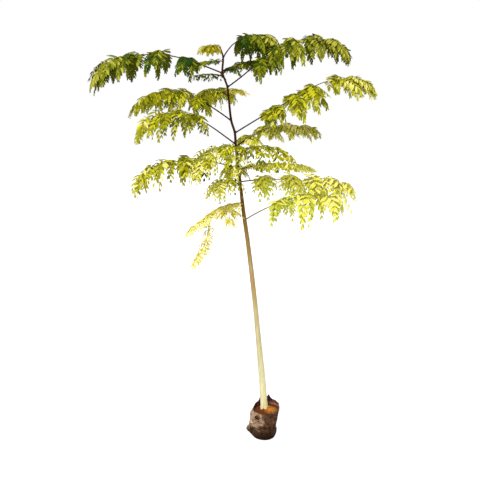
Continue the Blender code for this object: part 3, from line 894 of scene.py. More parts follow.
LEAVES = (
    LeafPlan("top_left", 1.296, 176.0, 0.452, (22, 20, 10, -7, -21, -55), 0.21, 7, 0.120, 84.0, Tint.DARK),
    LeafPlan("tip_left", 1.364, 150.0, 0.074, (52, 22, -10, -24), 0.28, 3, 0.044, 40.0, Tint.GOLD),
    LeafPlan("neck_left", 1.334, 164.0, 0.078, (4, 0, -6, -8), 0.18, 3, 0.030, 60.0, Tint.DARK),
    LeafPlan("spray_left", 1.286, 122.0, 0.190, (10, 3, -2, -6), 0.12, 5, 0.042, 72.0, Tint.DARK),
    LeafPlan("spray_right", 1.304, 56.0, 0.185, (8, 12, 12, 2), 0.18, 4, 0.054, 60.0, Tint.DARK),
    LeafPlan("crest_right", 1.345, 20.0, 0.168, (58, 48, 16, 6, -10), 0.36, 4, 0.094, 72.0, Tint.DARK),
    LeafPlan("top_right", 1.252, 2.0, 0.430, (34, 40, 38, 14, -4, -38), 0.27, 7, 0.118, 82.0, Tint.DARK),
    LeafPlan("tuft_right", 1.236, 48.0, 0.070, (24, 8, -10, -24), 0.26, 3, 0.036, 50.0, Tint.GOLD),
    LeafPlan("upper_left", 1.144, 163.0, 0.362, (35, 31, 25, 3, -19, -30), 0.29, 6, 0.108, 74.0),
    LeafPlan("upper_back", 1.222, 112.0, 0.280, (16, 8, -2, -12, -24), 0.14, 5, 0.090, 74.0),
    LeafPlan("middle_left", 1.067, 204.0, 0.350, (36, 35, 30, 12, -18, -40), 0.39, 5, 0.120, 76.0),
    LeafPlan("upper_right", 1.104, 8.0, 0.490, (31, 30, 28, 30, 3, -21), 0.23, 6, 0.124, 64.0),
    LeafPlan("middle_right", 1.058, 40.0, 0.372, (30, 20, 9, 1, -5, -11), 0.11, 6, 0.092, 66.0),
    LeafPlan("hanging_right", 1.040, -50.0, 0.252, (20, 14, 4, -10, -26), 0.22, 5, 0.080, 72.0),
    LeafPlan("lower_left", 0.980, 188.0, 0.352, (28, 14, 3, -5, -22, -60), 0.27, 6, 0.120, 80.0),
    LeafPlan("front_left", 1.052, 232.0, 0.225, (18, 4, -14, -34, -54), 0.12, 5, 0.094, 76.0),
    LeafPlan("front", 1.047, 270.0, 0.230, (24, 10, -8, -30, -50), 0.12, 4, 0.070, 74.0),
    LeafPlan("lower_far", 0.962, 98.0, 0.290, (16, 6, -6, -20, -34), 0.14, 5, 0.080, 70.0),
    LeafPlan("low_front", 0.924, 240.0, 0.170, (36, 20, -6, -30), 0.28, 4, 0.086, 80.0),
    LeafPlan("lower_right", 0.942, -4.0, 0.350, (7, 5, -2, -3, -6, -12), 0.16, 6, 0.108, 74.0, Tint.LIGHT),
    LeafPlan("lower_back", 0.981, 48.0, 0.390, (8, 1, -4, -6, -9, -14), 0.18, 6, 0.090, 60.0, Tint.LIGHT),
    LeafPlan("lowest_right", 0.810, -30.0, 0.350, (34, 29, 24, 19, 4, -22), 0.27, 5, 0.118, 76.0,
             Tint.LIGHT),
    LeafPlan("lowest_left", 0.870, 198.0, 0.226, (-2, -10, -36, -32, -46), 0.56, 3, 0.060, 60.0, Tint.GOLD),
    LeafPlan("lowest_arm", 0.108, 214.0, 0.192, (-66, -80, -58, -48), 0.16, 4, 0.056, 62.0, Tint.GOLD,
             "lowest_left"),
    LeafPlan("lowest_tuft", 0.052, -74.0, 0.048, (-40, -66, -76), 0.22, 2, 0.046, 70.0, Tint.GOLD,
             "lowest_left"),
)


@dataclass(frozen=True)
class Habit:
    """How one leaf's pinnae stand, beyond its plan."""
    fans: tuple[float, ...] = ()    # shares of the rachis where they gather; none: round every pair
    crowd: int = 5                  # pairs that gather at each of those places
    size: float = 1.0               # length of its pinnae against the rule's
    droop: float = 1.0              # share of the plan's hang
    lift: float = 46.0              # how steeply some pinnae start, degrees
    shade: float = 0.0              # added to the shade that its leaflets are dealt
    start: float = 0.0              # share of the leaf that is bare, if not the plan's
    gap: float = 0.36               # gap between two pairs of leaflets as a share of their length
    paling: float = -0.7            # shades that its pinnae gain from foot to tip
    broad: float = 1.0              # length of its leaflets against the rule's
    foot: float = 0.25              # how far up their swell its pinnae start


HABITS = {
    "top_left": Habit((0.0, 0.24, 0.50, 0.64, 0.78, 0.92), 7, 1.0, shade=0.5, gap=0.32, paling=0.5),
    "tip_left": Habit((0.0, 0.26, 0.52), 5, 1.05, 1.6, 30.0, -1.3, gap=0.32, paling=0.5, broad=1.1,
                      foot=0.4),
    "tuft_right": Habit((), 3, 1.0, shade=-0.4),
    "neck_left": Habit((), 3, 1.2, shade=0.8, broad=1.15),
    "spray_left": Habit((), 2, 1.0, 0.9, 20.0, 0.5, gap=0.56, broad=1.3),
    "spray_right": Habit((), 6, 1.15, shade=0.4),
    "crest_right": Habit((0.0, 0.30, 0.60, 0.90), 8, 1.3, 1.0, 46.0, 0.5, 0.46, 0.32, 0.2, foot=0.20),
    "top_right": Habit((0.0, 0.14, 0.32, 0.56, 0.80, 1.0), 8, shade=1.1, gap=0.32, paling=0.4),
    "upper_left": Habit((), 6, shade=0.4, gap=0.33),
    "upper_back": Habit((), 7, 0.92, 1.15, shade=1.4),
    "middle_left": Habit((0.06, 0.30, 0.58, 0.85, 1.0), 6, shade=0.1, gap=0.48, paling=-1.0),
    "upper_right": Habit((0.02, 0.22, 0.34, 0.66, 0.83, 0.97), 8, 1.10, shade=0.6, gap=0.36),
    # shade 2.2 deals this leaf the palest colours as painted light, for it lies in the shade of upper_right
    "middle_right": Habit((), 7, 1.04, 0.86, 40.0, 2.2, 0.0, 0.36, 0.0, 1.15),
    "hanging_right": Habit((), 4, 1.25, 1.0, 14.0, -0.2, gap=0.72, broad=1.2),
    "lower_left": Habit((0.0, 0.20, 0.48, 0.72, 0.95), 6, 1.05, shade=0.5, gap=0.56, paling=-1.4,
                        broad=1.08),
    "front_left": Habit((), 4, shade=0.8, gap=0.50, paling=-1.4),
    "front": Habit((), 4, shade=0.2, gap=0.52),
    "lower_far": Habit((), 4, 0.85, shade=1.0),
    "low_front": Habit((), 4, shade=1.0, gap=0.54, paling=-1.4),
    "lower_right": Habit((0.0, 0.28, 0.52, 0.76, 0.98), 10, 1.2, 0.9, 56.0, 1.1, gap=0.60, paling=-2.4,
                         broad=1.08),
    "lower_back": Habit((), 8, 1.0, 0.62, 16.0, 1.6, gap=0.42),
    "lowest_right": Habit((0.14, 0.52, 0.94), 9, 1.12, 1.1, 62.0, 0.5, gap=0.56, paling=-2.4, broad=1.08,
                          foot=0.10),
    # shade 2.2 deals this leaf pale colours, partly painted light where the leaves above shade it
    "lowest_left": Habit((0.01, 0.06, 0.12, 0.22, 0.34, 0.46, 0.58, 0.70, 0.82, 0.94), 2, 0.75, 1.3, 10.0,
                         2.2, 0.02, 0.42, broad=1.25, foot=0.34),
    "lowest_arm": Habit((0.02, 0.14, 0.28, 0.42, 0.56, 0.70, 0.84, 0.98), 2, 0.68, 0.9, 10.0, 0.6, gap=0.50,
                        broad=1.2),
    "lowest_tuft": Habit((), 5, 1.3, shade=1.6, gap=0.40, broad=1.3),
}


class Run:
    """A bent line of known length in one upright plane, its climb given at even steps."""

    def __init__(self, start: Vector, heading: float, length: float, climbs: Sequence[float],
                 strides: int) -> None:
        self.heading, self.length, self.climbs, self.strides = heading, length, climbs, strides
        self.points = [start.copy()]
        for stride in range(strides):
            ahead = self.tangent((stride + 0.5) * length / strides)
            self.points.append(self.points[-1] + ahead * length / strides)

    def climb(self, distance: float) -> float:
        """Climb angle at a distance, in degrees."""
        place = clamp(distance / self.length) * (len(self.climbs) - 1)
        index = min(int(place), len(self.climbs) - 2)
        return blend(self.climbs[index], self.climbs[index + 1], place - index)

    def tangent(self, distance: float) -> Vector:
        """Direction at a distance."""
        return direction(self.heading, self.climb(distance))

    def point(self, distance: float) -> Vector:
        """Point at a distance."""
        place = clamp(distance / self.length) * self.strides
        index = min(int(place), self.strides - 1)
        return self.points[index].lerp(self.points[index + 1], place - index)


@dataclass(frozen=True)
class Pinna:
    """One side arm of a leaf: its rib's run and roll, its leaflets' length, gap and shades."""
    run: Run
    leaflet: float
    gap: float
    shade: float
    paling: float
    twist: float


@dataclass(frozen=True)
class GrowthRule:
    """How a leaf carries its pinnae: the plain fronds' rule, with the pairs gathered in fans."""
    seed: int = 31
    stride: float = 0.010
    pair_crowding: float = 0.80     # below 1 the pairs stand closer towards the tip
    first_pair: float = 0.012       # distance from the stalk's end to the first pair
    last_pair: float = 0.965
    splay_first: float = 82.0       # angle between rachis and pinna at the first pair
    splay_last: float = 24.0
    splay_bend: float = 1.5         # above 1 it closes later
    stagger: float = 0.0040
    arch_lift: float = 16.0
    arch_middle: float = 0.60
    pinna_strides: int = 12
    swell_end: float = 0.86         # how far the pinnae's length has run down at the tip
    swell_bend: float = 0.7         # below 1 more of them are nearly full long
    uneven_length: Pair = (0.86, 1.06)
    leaflet_share: float = 0.175    # leaflet length as a share of the longest pinna, over a base
    leaflet_base: float = 0.0080
    leaflet_own: float = 0.6        # how much of that share goes by the pinna's own length
    shades: int = 4
    dealt_end: float = 1.8          # shades that the leaflets gain towards the leaf's tip
    dealt: Pair = (0.35, 0.35)   # middle and spread of the shade dealt at its foot
    gather: float = 0.34            # below 1 the pairs stand in clusters
    fan: float = 50.0               # degrees that the pinnae of a cluster spread over
    loose_turn: float = 14.0        # how far they may turn and hang out of line, degrees
    loose_hang: float = 30.0
    steepest: float = 88.0          # they never hang more steeply than this, degrees
    middle_hang: float = 10.0       # further hang of the middle pinnae of a cluster
    middle_length: float = 1.18     # length in the middle of a cluster, as a share
    loose_length: float = 0.42      # the same at its edge
    twist: float = 38.0             # how far a pinna may roll about its rib, degrees

    def places(self, plan: LeafPlan, habit: Habit) -> Iterator[Pair]:
        """Where the pairs leave the rachis.

        Args:
            plan: the leaf's plan.
            habit: how its pairs gather.

        Returns:
            For every pair its share of the rachis and its place in its cluster, from -1 to 1.
        """
        fans = habit.fans or tuple(pair / (plan.pairs - 1) for pair in range(plan.pairs))
        edges = [1.5 * fans[0] - 0.5 * fans[1], *(blend(near, far, 0.5) for near, far in zip(fans, fans[1:])),
                 1.5 * fans[-1] - 0.5 * fans[-2]]
        for fan, start, end in zip(fans, edges, edges[1:]):
            for number in range(habit.crowd):
                offset = (number + 0.5) / habit.crowd * 2.0 - 1.0
                reach = (end - fan if offset > 0.0 else fan - start) * self.gather
                yield clamp(fan + offset * reach), offset

    def pinnae(self, plan: LeafPlan, run: Run) -> Iterator[Pinna]:
        """Every pinna of a leaf, pair by pair from its foot."""
        chance = random.Random(self.seed + sum(map(ord, plan.name)))
        shading = random.Random(self.seed * 3 + sum(map(ord, plan.name)))
        habit = HABITS.get(plan.name, Habit())
        first = (habit.start or plan.bare) * plan.length + self.first_pair
        for share, offset in self.places(plan, habit):
            place = blend(first, plan.length * self.last_pair, share ** self.pair_crowding)
            splay = blend(self.splay_first, self.splay_last, share ** self.splay_bend)
            swell = math.sin(math.pi * blend(habit.foot, self.swell_end, share)) ** self.swell_bend
            ahead = run.tangent(place)
            for side in (1, -1):
                length = plan.pinna * habit.size * swell * chance.uniform(*self.uneven_length) * blend(
                    self.middle_length, self.loose_length, abs(offset))
                splayed = splay - offset * self.fan * 0.5 + chance.uniform(-1.0, 1.0) * self.loose_turn
                hang = (chance.random() ** 2) * self.loose_hang - min(
                    self.steepest, (plan.hang + self.middle_hang * (1.0 - abs(offset))) * habit.droop)
                lift = self.arch_lift + (chance.random() ** 2) * habit.lift
                twist = chance.uniform(-1.0, 1.0) * self.twist
                turn = math.radians(splayed)
                start_way = ahead * math.cos(turn) + level_side(run.heading) * side * math.sin(turn)
                heading = math.degrees(math.atan2(start_way.y, start_way.x))
                climb = math.degrees(math.asin(start_way.z))
                climbs = (climb + lift, blend(climb, hang, self.arch_middle), hang)
                foot = run.point(place + side * self.stagger * 0.5)
                leaflet = self.leaflet_base + self.leaflet_share * blend(plan.pinna, length, self.leaflet_own)
                leaflet *= habit.broad
                shade = share * self.dealt_end + shading.gauss(*self.dealt) + habit.shade
                yield Pinna(Run(foot, heading, length, climbs, self.pinna_strides), leaflet,
                            leaflet * habit.gap, clamp(shade, 0.0, self.shades - 1.0), habit.paling,
                            math.radians(twist))


@dataclass
class Leaf:
    """A grown leaf."""
    plan: LeafPlan
    run: Run
    pinnae: list[Pinna]

    @property
    def stalk_end(self) -> float:
        """Distance at which the bare stalk gives way to the frond."""
        return self.plan.bare * self.plan.length


@dataclass(frozen=True)
class Stalks:
    """Leaf stalks and rachises: grooved, with a swollen foot and joints where pinnae leave."""
    foot_radius: float = 0.0026
    tip_radius: float = 0.0009
    full_length: float = 0.20       # shorter leaves have slimmer stalks
    cushion_radius: float = 0.0036
    cushion_length: float = 0.011
    knuckle_radius: float = 0.0006
    knuckle_length: float = 0.0024
    knuckle_most: float = 1.3       # where several meet they swell no further
    groove: float = 0.16            # depth of the groove on top, as a share of the radius
    groove_width: float = 0.5       # radians
    rind: float = 0.06              # unevenness of the rind, as a share of the radius
    rind_scale: float = 160.0
    sides: int = 12
    rachis_sides: int = 8
    step: float = 0.0024

    def plain(self, plan: LeafPlan, distance: float) -> float:
        """Thickness without relief."""
        size = min(1.0, plan.length / self.full_length) ** 0.5
        slim = blend(self.foot_radius, self.tip_radius, distance / plan.length) * size
        swell = clamp(1.0 - distance / self.cushion_length)
        return slim + (self.cushion_radius * size - slim) * swell * swell * (3.0 - 2.0 * swell)

    def skin(self, tube: Tube, leaf: Leaf, start: float, end: float, knuckles: Sequence[float]) -> None:
        """Add a stretch of a leaf's stalk or rachis to a tube."""
        stops = spaced(start, end, self.step)

        def reach(ring: int, angle: float) -> float:
            """Radius with groove, rind and knuckles."""
            distance = stops[ring]
            lift = sum(hump(distance - knuckle, self.knuckle_length) for knuckle in knuckles
                       if abs(distance - knuckle) < 3.0 * self.knuckle_length)
            groove = self.groove * hump(angle - math.pi * 0.5, self.groove_width)
            rind = self.rind * noise.noise(Vector((
                math.cos(angle), math.sin(angle), distance * self.rind_scale)))
            return (self.plain(leaf.plan, distance) * (1.0 - groove + rind)
                    + self.knuckle_radius * min(lift, self.knuckle_most))

        tube.skin([leaf.run.point(stop) for stop in stops], reach, level_side(leaf.run.heading))

    def build_stalks(self, name: str, leaves: Sequence[Leaf]) -> Mesh:
        """The bare stalks of some leaves."""
        tube = Tube(self.sides)
        for leaf in leaves:
            self.skin(tube, leaf, 0.0, leaf.stalk_end, ())
        return tube.mesh(name)

    def build_rachises(self, leaves: Sequence[Leaf]) -> Mesh:
        """The rachises that carry the pinnae."""
        tube = Tube(self.rachis_sides)
        for leaf in leaves:
            knuckles = [(pinna.run.points[0] - leaf.run.points[0]).length for pinna in leaf.pinnae[::2]]
            stops = spaced(leaf.stalk_end, leaf.plan.length, self.step)
            reaches = {stop: (leaf.run.point(stop) - leaf.run.points[0]).length for stop in stops}
            places = [min(stops, key=lambda stop: abs(reaches[stop] - knuckle)) for knuckle in knuckles]
            self.skin(tube, leaf, leaf.stalk_end - self.step, leaf.plan.length, places)
        return tube.mesh("rachises")


class PathMesh:
    """Loose polylines with named values on their points, for a growth tree."""

    def __init__(self) -> None:
        self.points: list[Vector] = []
        self.edges: list[tuple[int, int]] = []
        self.values: dict[str, list[object]] = {}

    def add(self, path: Sequence[Vector], **values: object) -> None:
        """Add one polyline; a value is one for the whole of it, or a list with one for each point."""
        start = len(self.points)
        self.points += path
        self.edges += [(start + step, start + step + 1) for step in range(len(path) - 1)]
        for name, value in values.items():
            each = value if isinstance(value, list) else [value] * len(path)
            self.values.setdefault(name, []).extend(each)

    def build(self, name: str) -> Object:
        """Object that holds the polylines and their values."""
        mesh = mesh_from(name, self.points, self.edges, [])
        for label, values in self.values.items():
            if isinstance(values[0], Vector):
                layer = mesh.attributes.new(label, "FLOAT_VECTOR", "POINT")
                layer.data.foreach_set("vector", [part for value in values for part in value])
            else:
                mesh.attributes.new(label, "FLOAT", "POINT").data.foreach_set("value", values)
        return new_object(name, mesh)


@dataclass(frozen=True)
class Leaflet:
    """One leaflet of unit length along +X: a thin closed blade, folded and slightly arched."""
    sections: tuple[Pair, ...] = (   # place along it, half width there
        (0.10, 0.110), (0.48, 0.180), (0.86, 0.118))
    keel: float = 0.036             # how far the midrib's underside lies under its top
    fold: float = 0.045             # how far the midrib lies under the margins
    arch: float = 0.10              # how far the tip droops

    def build(self) -> Object:
        """Leaflet with its underside marked on the faces."""
        points = [Vector((0.0, 0.0, 0.0))]
        for place, half in self.sections:
            drop = self.arch * place * place
            points += [Vector((place, half, self.fold - drop)), Vector((place, 0.0, -drop)),
                       Vector((place, -half, self.fold - drop)), Vector((place, 0.0, -drop - self.keel))]
        points.append(Vector((1.0, 0.0, -self.arch)))
        rings = rings_from(1, len(self.sections), 4)
        faces = lid(rings[0][::-1], 0) + bands(rings) + lid(rings[-1], len(points) - 1)
        mesh = mesh_from("leaflet", points, [], faces)
        face_outwards(mesh)
        mark_faces(mesh, "under", [face.normal.z < 0.0 for face in mesh.polygons])
        return new_object("leaflet", mesh)


@dataclass(frozen=True)
class LeafletRows:
    """Leaflets in two rows along every pinna, grown by Geometry Nodes."""
    bare_foot: float = 0.09         # share of the rib before the first pair
    lean_foot: float = 78.0         # angle between rib and leaflet at the foot, degrees
    lean_tip: float = 20.0
    bend: float = 1.8               # above 1 they lean and shorten later along the rib
    foot_size: float = 0.72         # size of the lowest leaflets
    foot_gain: float = 1.3          # what they gain along the rib until they are full
    tip_loss: float = 0.50          # what the last ones have lost
    least: float = 0.86             # smallest and largest of them, drawn at random
    most: float = 1.10
    sag: float = 0.45               # how strongly the leaflets hang
    unevenness: float = 0.22
    facing: float = 0.35            # how strongly they turn their upper side to the sky
    stray: float = 0.95             # how far a leaflet's shade may lie from its pinna's
    clearance: float = 0.0015       # kept from the stem

    def tree(self, shades: Sequence[Material], under: Material) -> Growth:
        """Build the growth tree for one kind of foliage.

        Args:
            shades: materials of the upper sides, by the pinna's shade.
            under: material of the undersides, painted bright as light shining through them.

        Returns:
            The tree, whose named inputs are the leaflet, the stem and the rows' sizes.
        """
        growth = Growth(f"leaflet rows {under.name}")
        wiring = growth.wiring
        leaflet, stem, bare, lean_foot, lean_tip, sag, uneven, clearance, seed = growth.inputs({
            "Leaflet": "Object", "Stem": "Object", "Bare Foot": "Float", "Foot Lean": "Float",
            "Tip Lean": "Float", "Sag": "Float", "Unevenness": "Float", "Clearance": "Float",
            "Seed": "Int"})
        curves = wiring.out("GeometryNodeMeshToCurve", {"Mesh": growth.source.outputs["Geometry"]})
        rows = wiring.out("GeometryNodeResampleCurve",
                          {"Curve": curves, "Length": growth.attribute("spacing")}, mode="LENGTH")
        share = wiring.add("GeometryNodeSplineParameter").outputs["Factor"]
        later = wiring.sum("POWER", share, self.bend)
        ahead = wiring.out("GeometryNodeInputTangent")
        level, twist = growth.attribute("across", "FLOAT_VECTOR"), growth.attribute("twist")
        upright = wiring.vector("CROSS_PRODUCT", ahead, level)
        across = wiring.vector("ADD", wiring.scaled(level, wiring.sum("COSINE", twist)),
                               wiring.scaled(upright, wiring.sum("SINE", twist)))
        over = wiring.vector("CROSS_PRODUCT", ahead, across)
        lean = wiring.ranged(later, 0.0, 1.0, lean_foot, lean_tip)
        onward = wiring.scaled(ahead, wiring.sum("COSINE", lean))
        sideways = wiring.sum("SINE", lean)
        free = wiring.add("GeometryNodeProximity", {"Geometry": self.shape(wiring, stem)}).outputs
        kept = wiring.out("FunctionNodeBooleanMath", {
            0: wiring.exceeds(free["Distance"], clearance), 1: wiring.exceeds(share, bare)},
            operation="AND")
        opening = wiring.sum("MINIMUM", 1.0, wiring.sum(
            "MULTIPLY_ADD", share, self.foot_gain, self.foot_size))
        taper = wiring.sum("MULTIPLY_ADD", later, -self.tip_loss, 1.0)
        size = wiring.sum("MULTIPLY", growth.attribute("leaflet"), wiring.sum("MULTIPLY", opening, taper))
        shade = growth.attribute("shade")
        paler = wiring.sum("MULTIPLY", wiring.sum("SUBTRACT", share, 0.5), growth.attribute("paling"))
        both = wiring.add("GeometryNodeJoinGeometry")
        last = len(shades) - 1.0
        for first_draw, side in ((1.0, 1.0), (11.0, -1.0)):
            seeds = [wiring.sum("ADD", seed, first_draw + draw) for draw in (0.0, 1.0, 2.0, 3.0)]
            swerve, tilt = (wiring.random((-1.0,) * 3, ONES, draw) for draw in seeds[:2])
            reach = wiring.random(self.least, self.most, seeds[2])
            # each leaflet is dealt one of its tint's colours, the darker partly painted shade, the paler
            # partly painted light
            strayed = wiring.sum("ADD", shade, wiring.random(-self.stray, self.stray, seeds[3]))
            dealt = wiring.sum("ROUND", wiring.ranged(
                wiring.sum("ADD", strayed, paler), 0.0, last, 0.0, last))
            marked = wiring.out("GeometryNodeStoreNamedAttribute", {
                "Geometry": rows, "Name": "dealt", "Value": dealt}, data_type="INT", domain="POINT")
            way = wiring.vector("ADD", onward, wiring.scaled(across, wiring.sum("MULTIPLY", sideways, side)))
            way = wiring.vector("ADD", way, wiring.scaled(tuple(-UP), sag))
            way = wiring.vector("ADD", way, wiring.scaled(swerve, uneven))
            face = wiring.vector("ADD", over, wiring.scaled(tilt, uneven))
            face = wiring.vector("ADD", face, tuple(UP * self.facing))
            turned = wiring.out("FunctionNodeAxesToRotation", {"Primary Axis": way, "Secondary Axis": face},
                                primary_axis="X", secondary_axis="Z")
            wiring.feed(both, 0, wiring.out("GeometryNodeInstanceOnPoints", {
                "Points": marked, "Selection": kept, "Instance": self.shape(wiring, leaflet),
                "Rotation": turned, "Scale": wiring.scaled(ONES, wiring.sum("MULTIPLY", size, reach))}))
        paints = [(wiring.out("FunctionNodeCompare", {"A": growth.attribute("dealt", "INT"), "B": number},
                              data_type="INT", operation="EQUAL"), material)
                  for number, material in enumerate(shades)]
        paints.append((growth.attribute("under", "BOOLEAN"), under))
        growth.finish(both.outputs["Geometry"], paints)
        return growth

    @staticmethod
    def shape(wiring: Wiring, item: NodeSocket) -> NodeSocket:
        """Geometry of an object input."""
        return wiring.add("GeometryNodeObjectInfo", {"Object": item}).outputs["Geometry"]

    def build(self, name: str, leaves: Sequence[Leaf], growth: Growth, leaflet: Object,
              stem: Object, seed: int) -> Object:
        """Grow the leaflets of some leaves as one piece."""
        paths = PathMesh()
        for leaf in leaves:
            for pinna in leaf.pinnae:
                paths.add(pinna.run.points, across=level_side(pinna.run.heading), leaflet=pinna.leaflet,
                          spacing=pinna.gap, twist=pinna.twist, shade=pinna.shade, paling=pinna.paling)
        return growth.grow(paths.build(name + "_paths"), name, {
            "Leaflet": leaflet, "Stem": stem, "Bare Foot": self.bare_foot,
            "Foot Lean": math.radians(self.lean_foot), "Tip Lean": math.radians(self.lean_tip),
            "Sag": self.sag, "Unevenness": self.unevenness, "Clearance": self.clearance, "Seed": seed})


@dataclass(frozen=True)
class PinnaRibs:
    """Thin ribs of all pinnae, swept along their runs by Geometry Nodes."""
    foot_radius: float = 0.00070
    tip_radius: float = 0.00024
    full_length: float = 0.070      # shorter pinnae have slimmer ribs
    sides: int = 4

    def tree(self, material: Material) -> Growth:
        """Build the growth tree."""
        growth = Growth("pinna ribs")
        wiring = growth.wiring
        sides, = growth.inputs({"Sides": "Int"})
        curves = wiring.out("GeometryNodeMeshToCurve", {"Mesh": growth.source.outputs["Geometry"]})
        profile = wiring.out("GeometryNodeCurvePrimitiveCircle", {"Resolution": sides, "Radius": 1.0})
        swept = wiring.out("GeometryNodeCurveToMesh", {
            "Curve": curves, "Profile Curve": profile, "Scale": growth.attribute("radius"),
            "Fill Caps": True})
        growth.finish(wiring.out("GeometryNodeSetShadeSmooth", {"Geometry": swept}), [(True, material)])
        return growth

    def build(self, leaves: Sequence[Leaf], material: Material) -> Object:
        """Sweep every rib."""
        paths = PathMesh()
        for leaf in leaves:
            for pinna in leaf.pinnae:
                slim = min(1.0, pinna.run.length / self.full_length) ** 0.5
                last = pinna.run.strides
                paths.add(pinna.run.points, radius=[
                    slim * blend(self.foot_radius, self.tip_radius, step / last) for step in range(last + 1)])
        return self.tree(material).grow(paths.build("rib_paths"), "pinna_ribs", {"Sides": self.sides})


@dataclass(frozen=True)
class Buds:
    """Pointed buds in the crook of every leaf, and the one that ends the stem."""
    length: float = 0.0052
    radius: float = 0.00165
    lean: float = 38.0              # degrees from the stem towards the leaf
    above: float = 0.9              # how far over the stalk's foot it stands, in stem radii
    out: float = 0.55               # how far from the stem's axis, in stem radii
    sunk: float = 0.0015            # how deep the end bud sits in the stem's tip
    scales: int = 3                 # bud scales, how much they bulge and how they wind
    bulge: float = 0.10
    winding: float = 9.0
    swell: Pair = (0.22, 0.98)   # part of a full swell that it runs through
    point: float = 0.06             # thickness of its tip, as a share
    rings: int = 8
    sides: int = 10

    def build(self, stem: Stem, leaves: Sequence[Leaf]) -> Mesh:
        """All buds as one mesh."""
        tube = Tube(self.sides)
        for leaf in leaves:
            if leaf.plan.carrier:
                continue
            height = leaf.plan.height + stem.radius(leaf.plan.height) * self.above
            way = direction(leaf.plan.heading, 90.0 - self.lean)
            out = direction(leaf.plan.heading, 0.0) * stem.radius(height) * self.out
            self.add(tube, stem.axis(height) + out, way)
        top = stem.joints[-1][0]
        way = (stem.axis(top) - stem.axis(top - 0.01)).normalized()
        self.add(tube, stem.axis(top) - UP * self.sunk, way)
        return tube.mesh("buds")

    def add(self, tube: Tube, foot: Vector, way: Vector) -> None:
        """Add one bud."""
        path = [foot + way * self.length * ring / self.rings for ring in range(self.rings + 1)]

        def reach(ring: int, angle: float) -> float:
            """Radius with the bud's scales."""
            share = ring / self.rings
            scales = 1.0 + self.bulge * math.cos(self.scales * angle + self.winding * share)
            return self.radius * scales * max(self.point, math.sin(math.pi * blend(*self.swell, share)))

        tube.skin(path, reach, Vector((0.3, 0.9, 0.1)))


# ---------------------------------------------------------------- bag and soil

@dataclass(frozen=True)
class Buckle:
    """One sharp fold across the film."""
    heading: float              # degrees round the bag
    height: float
    tilt: float                 # how much it climbs in metres for each radian
    reach: float                # half its length, in degrees
    depth: float


@dataclass(frozen=True)
class Hole:
    """One hole through the film."""
    heading: float
    height: float
    half_width: float
    half_height: float


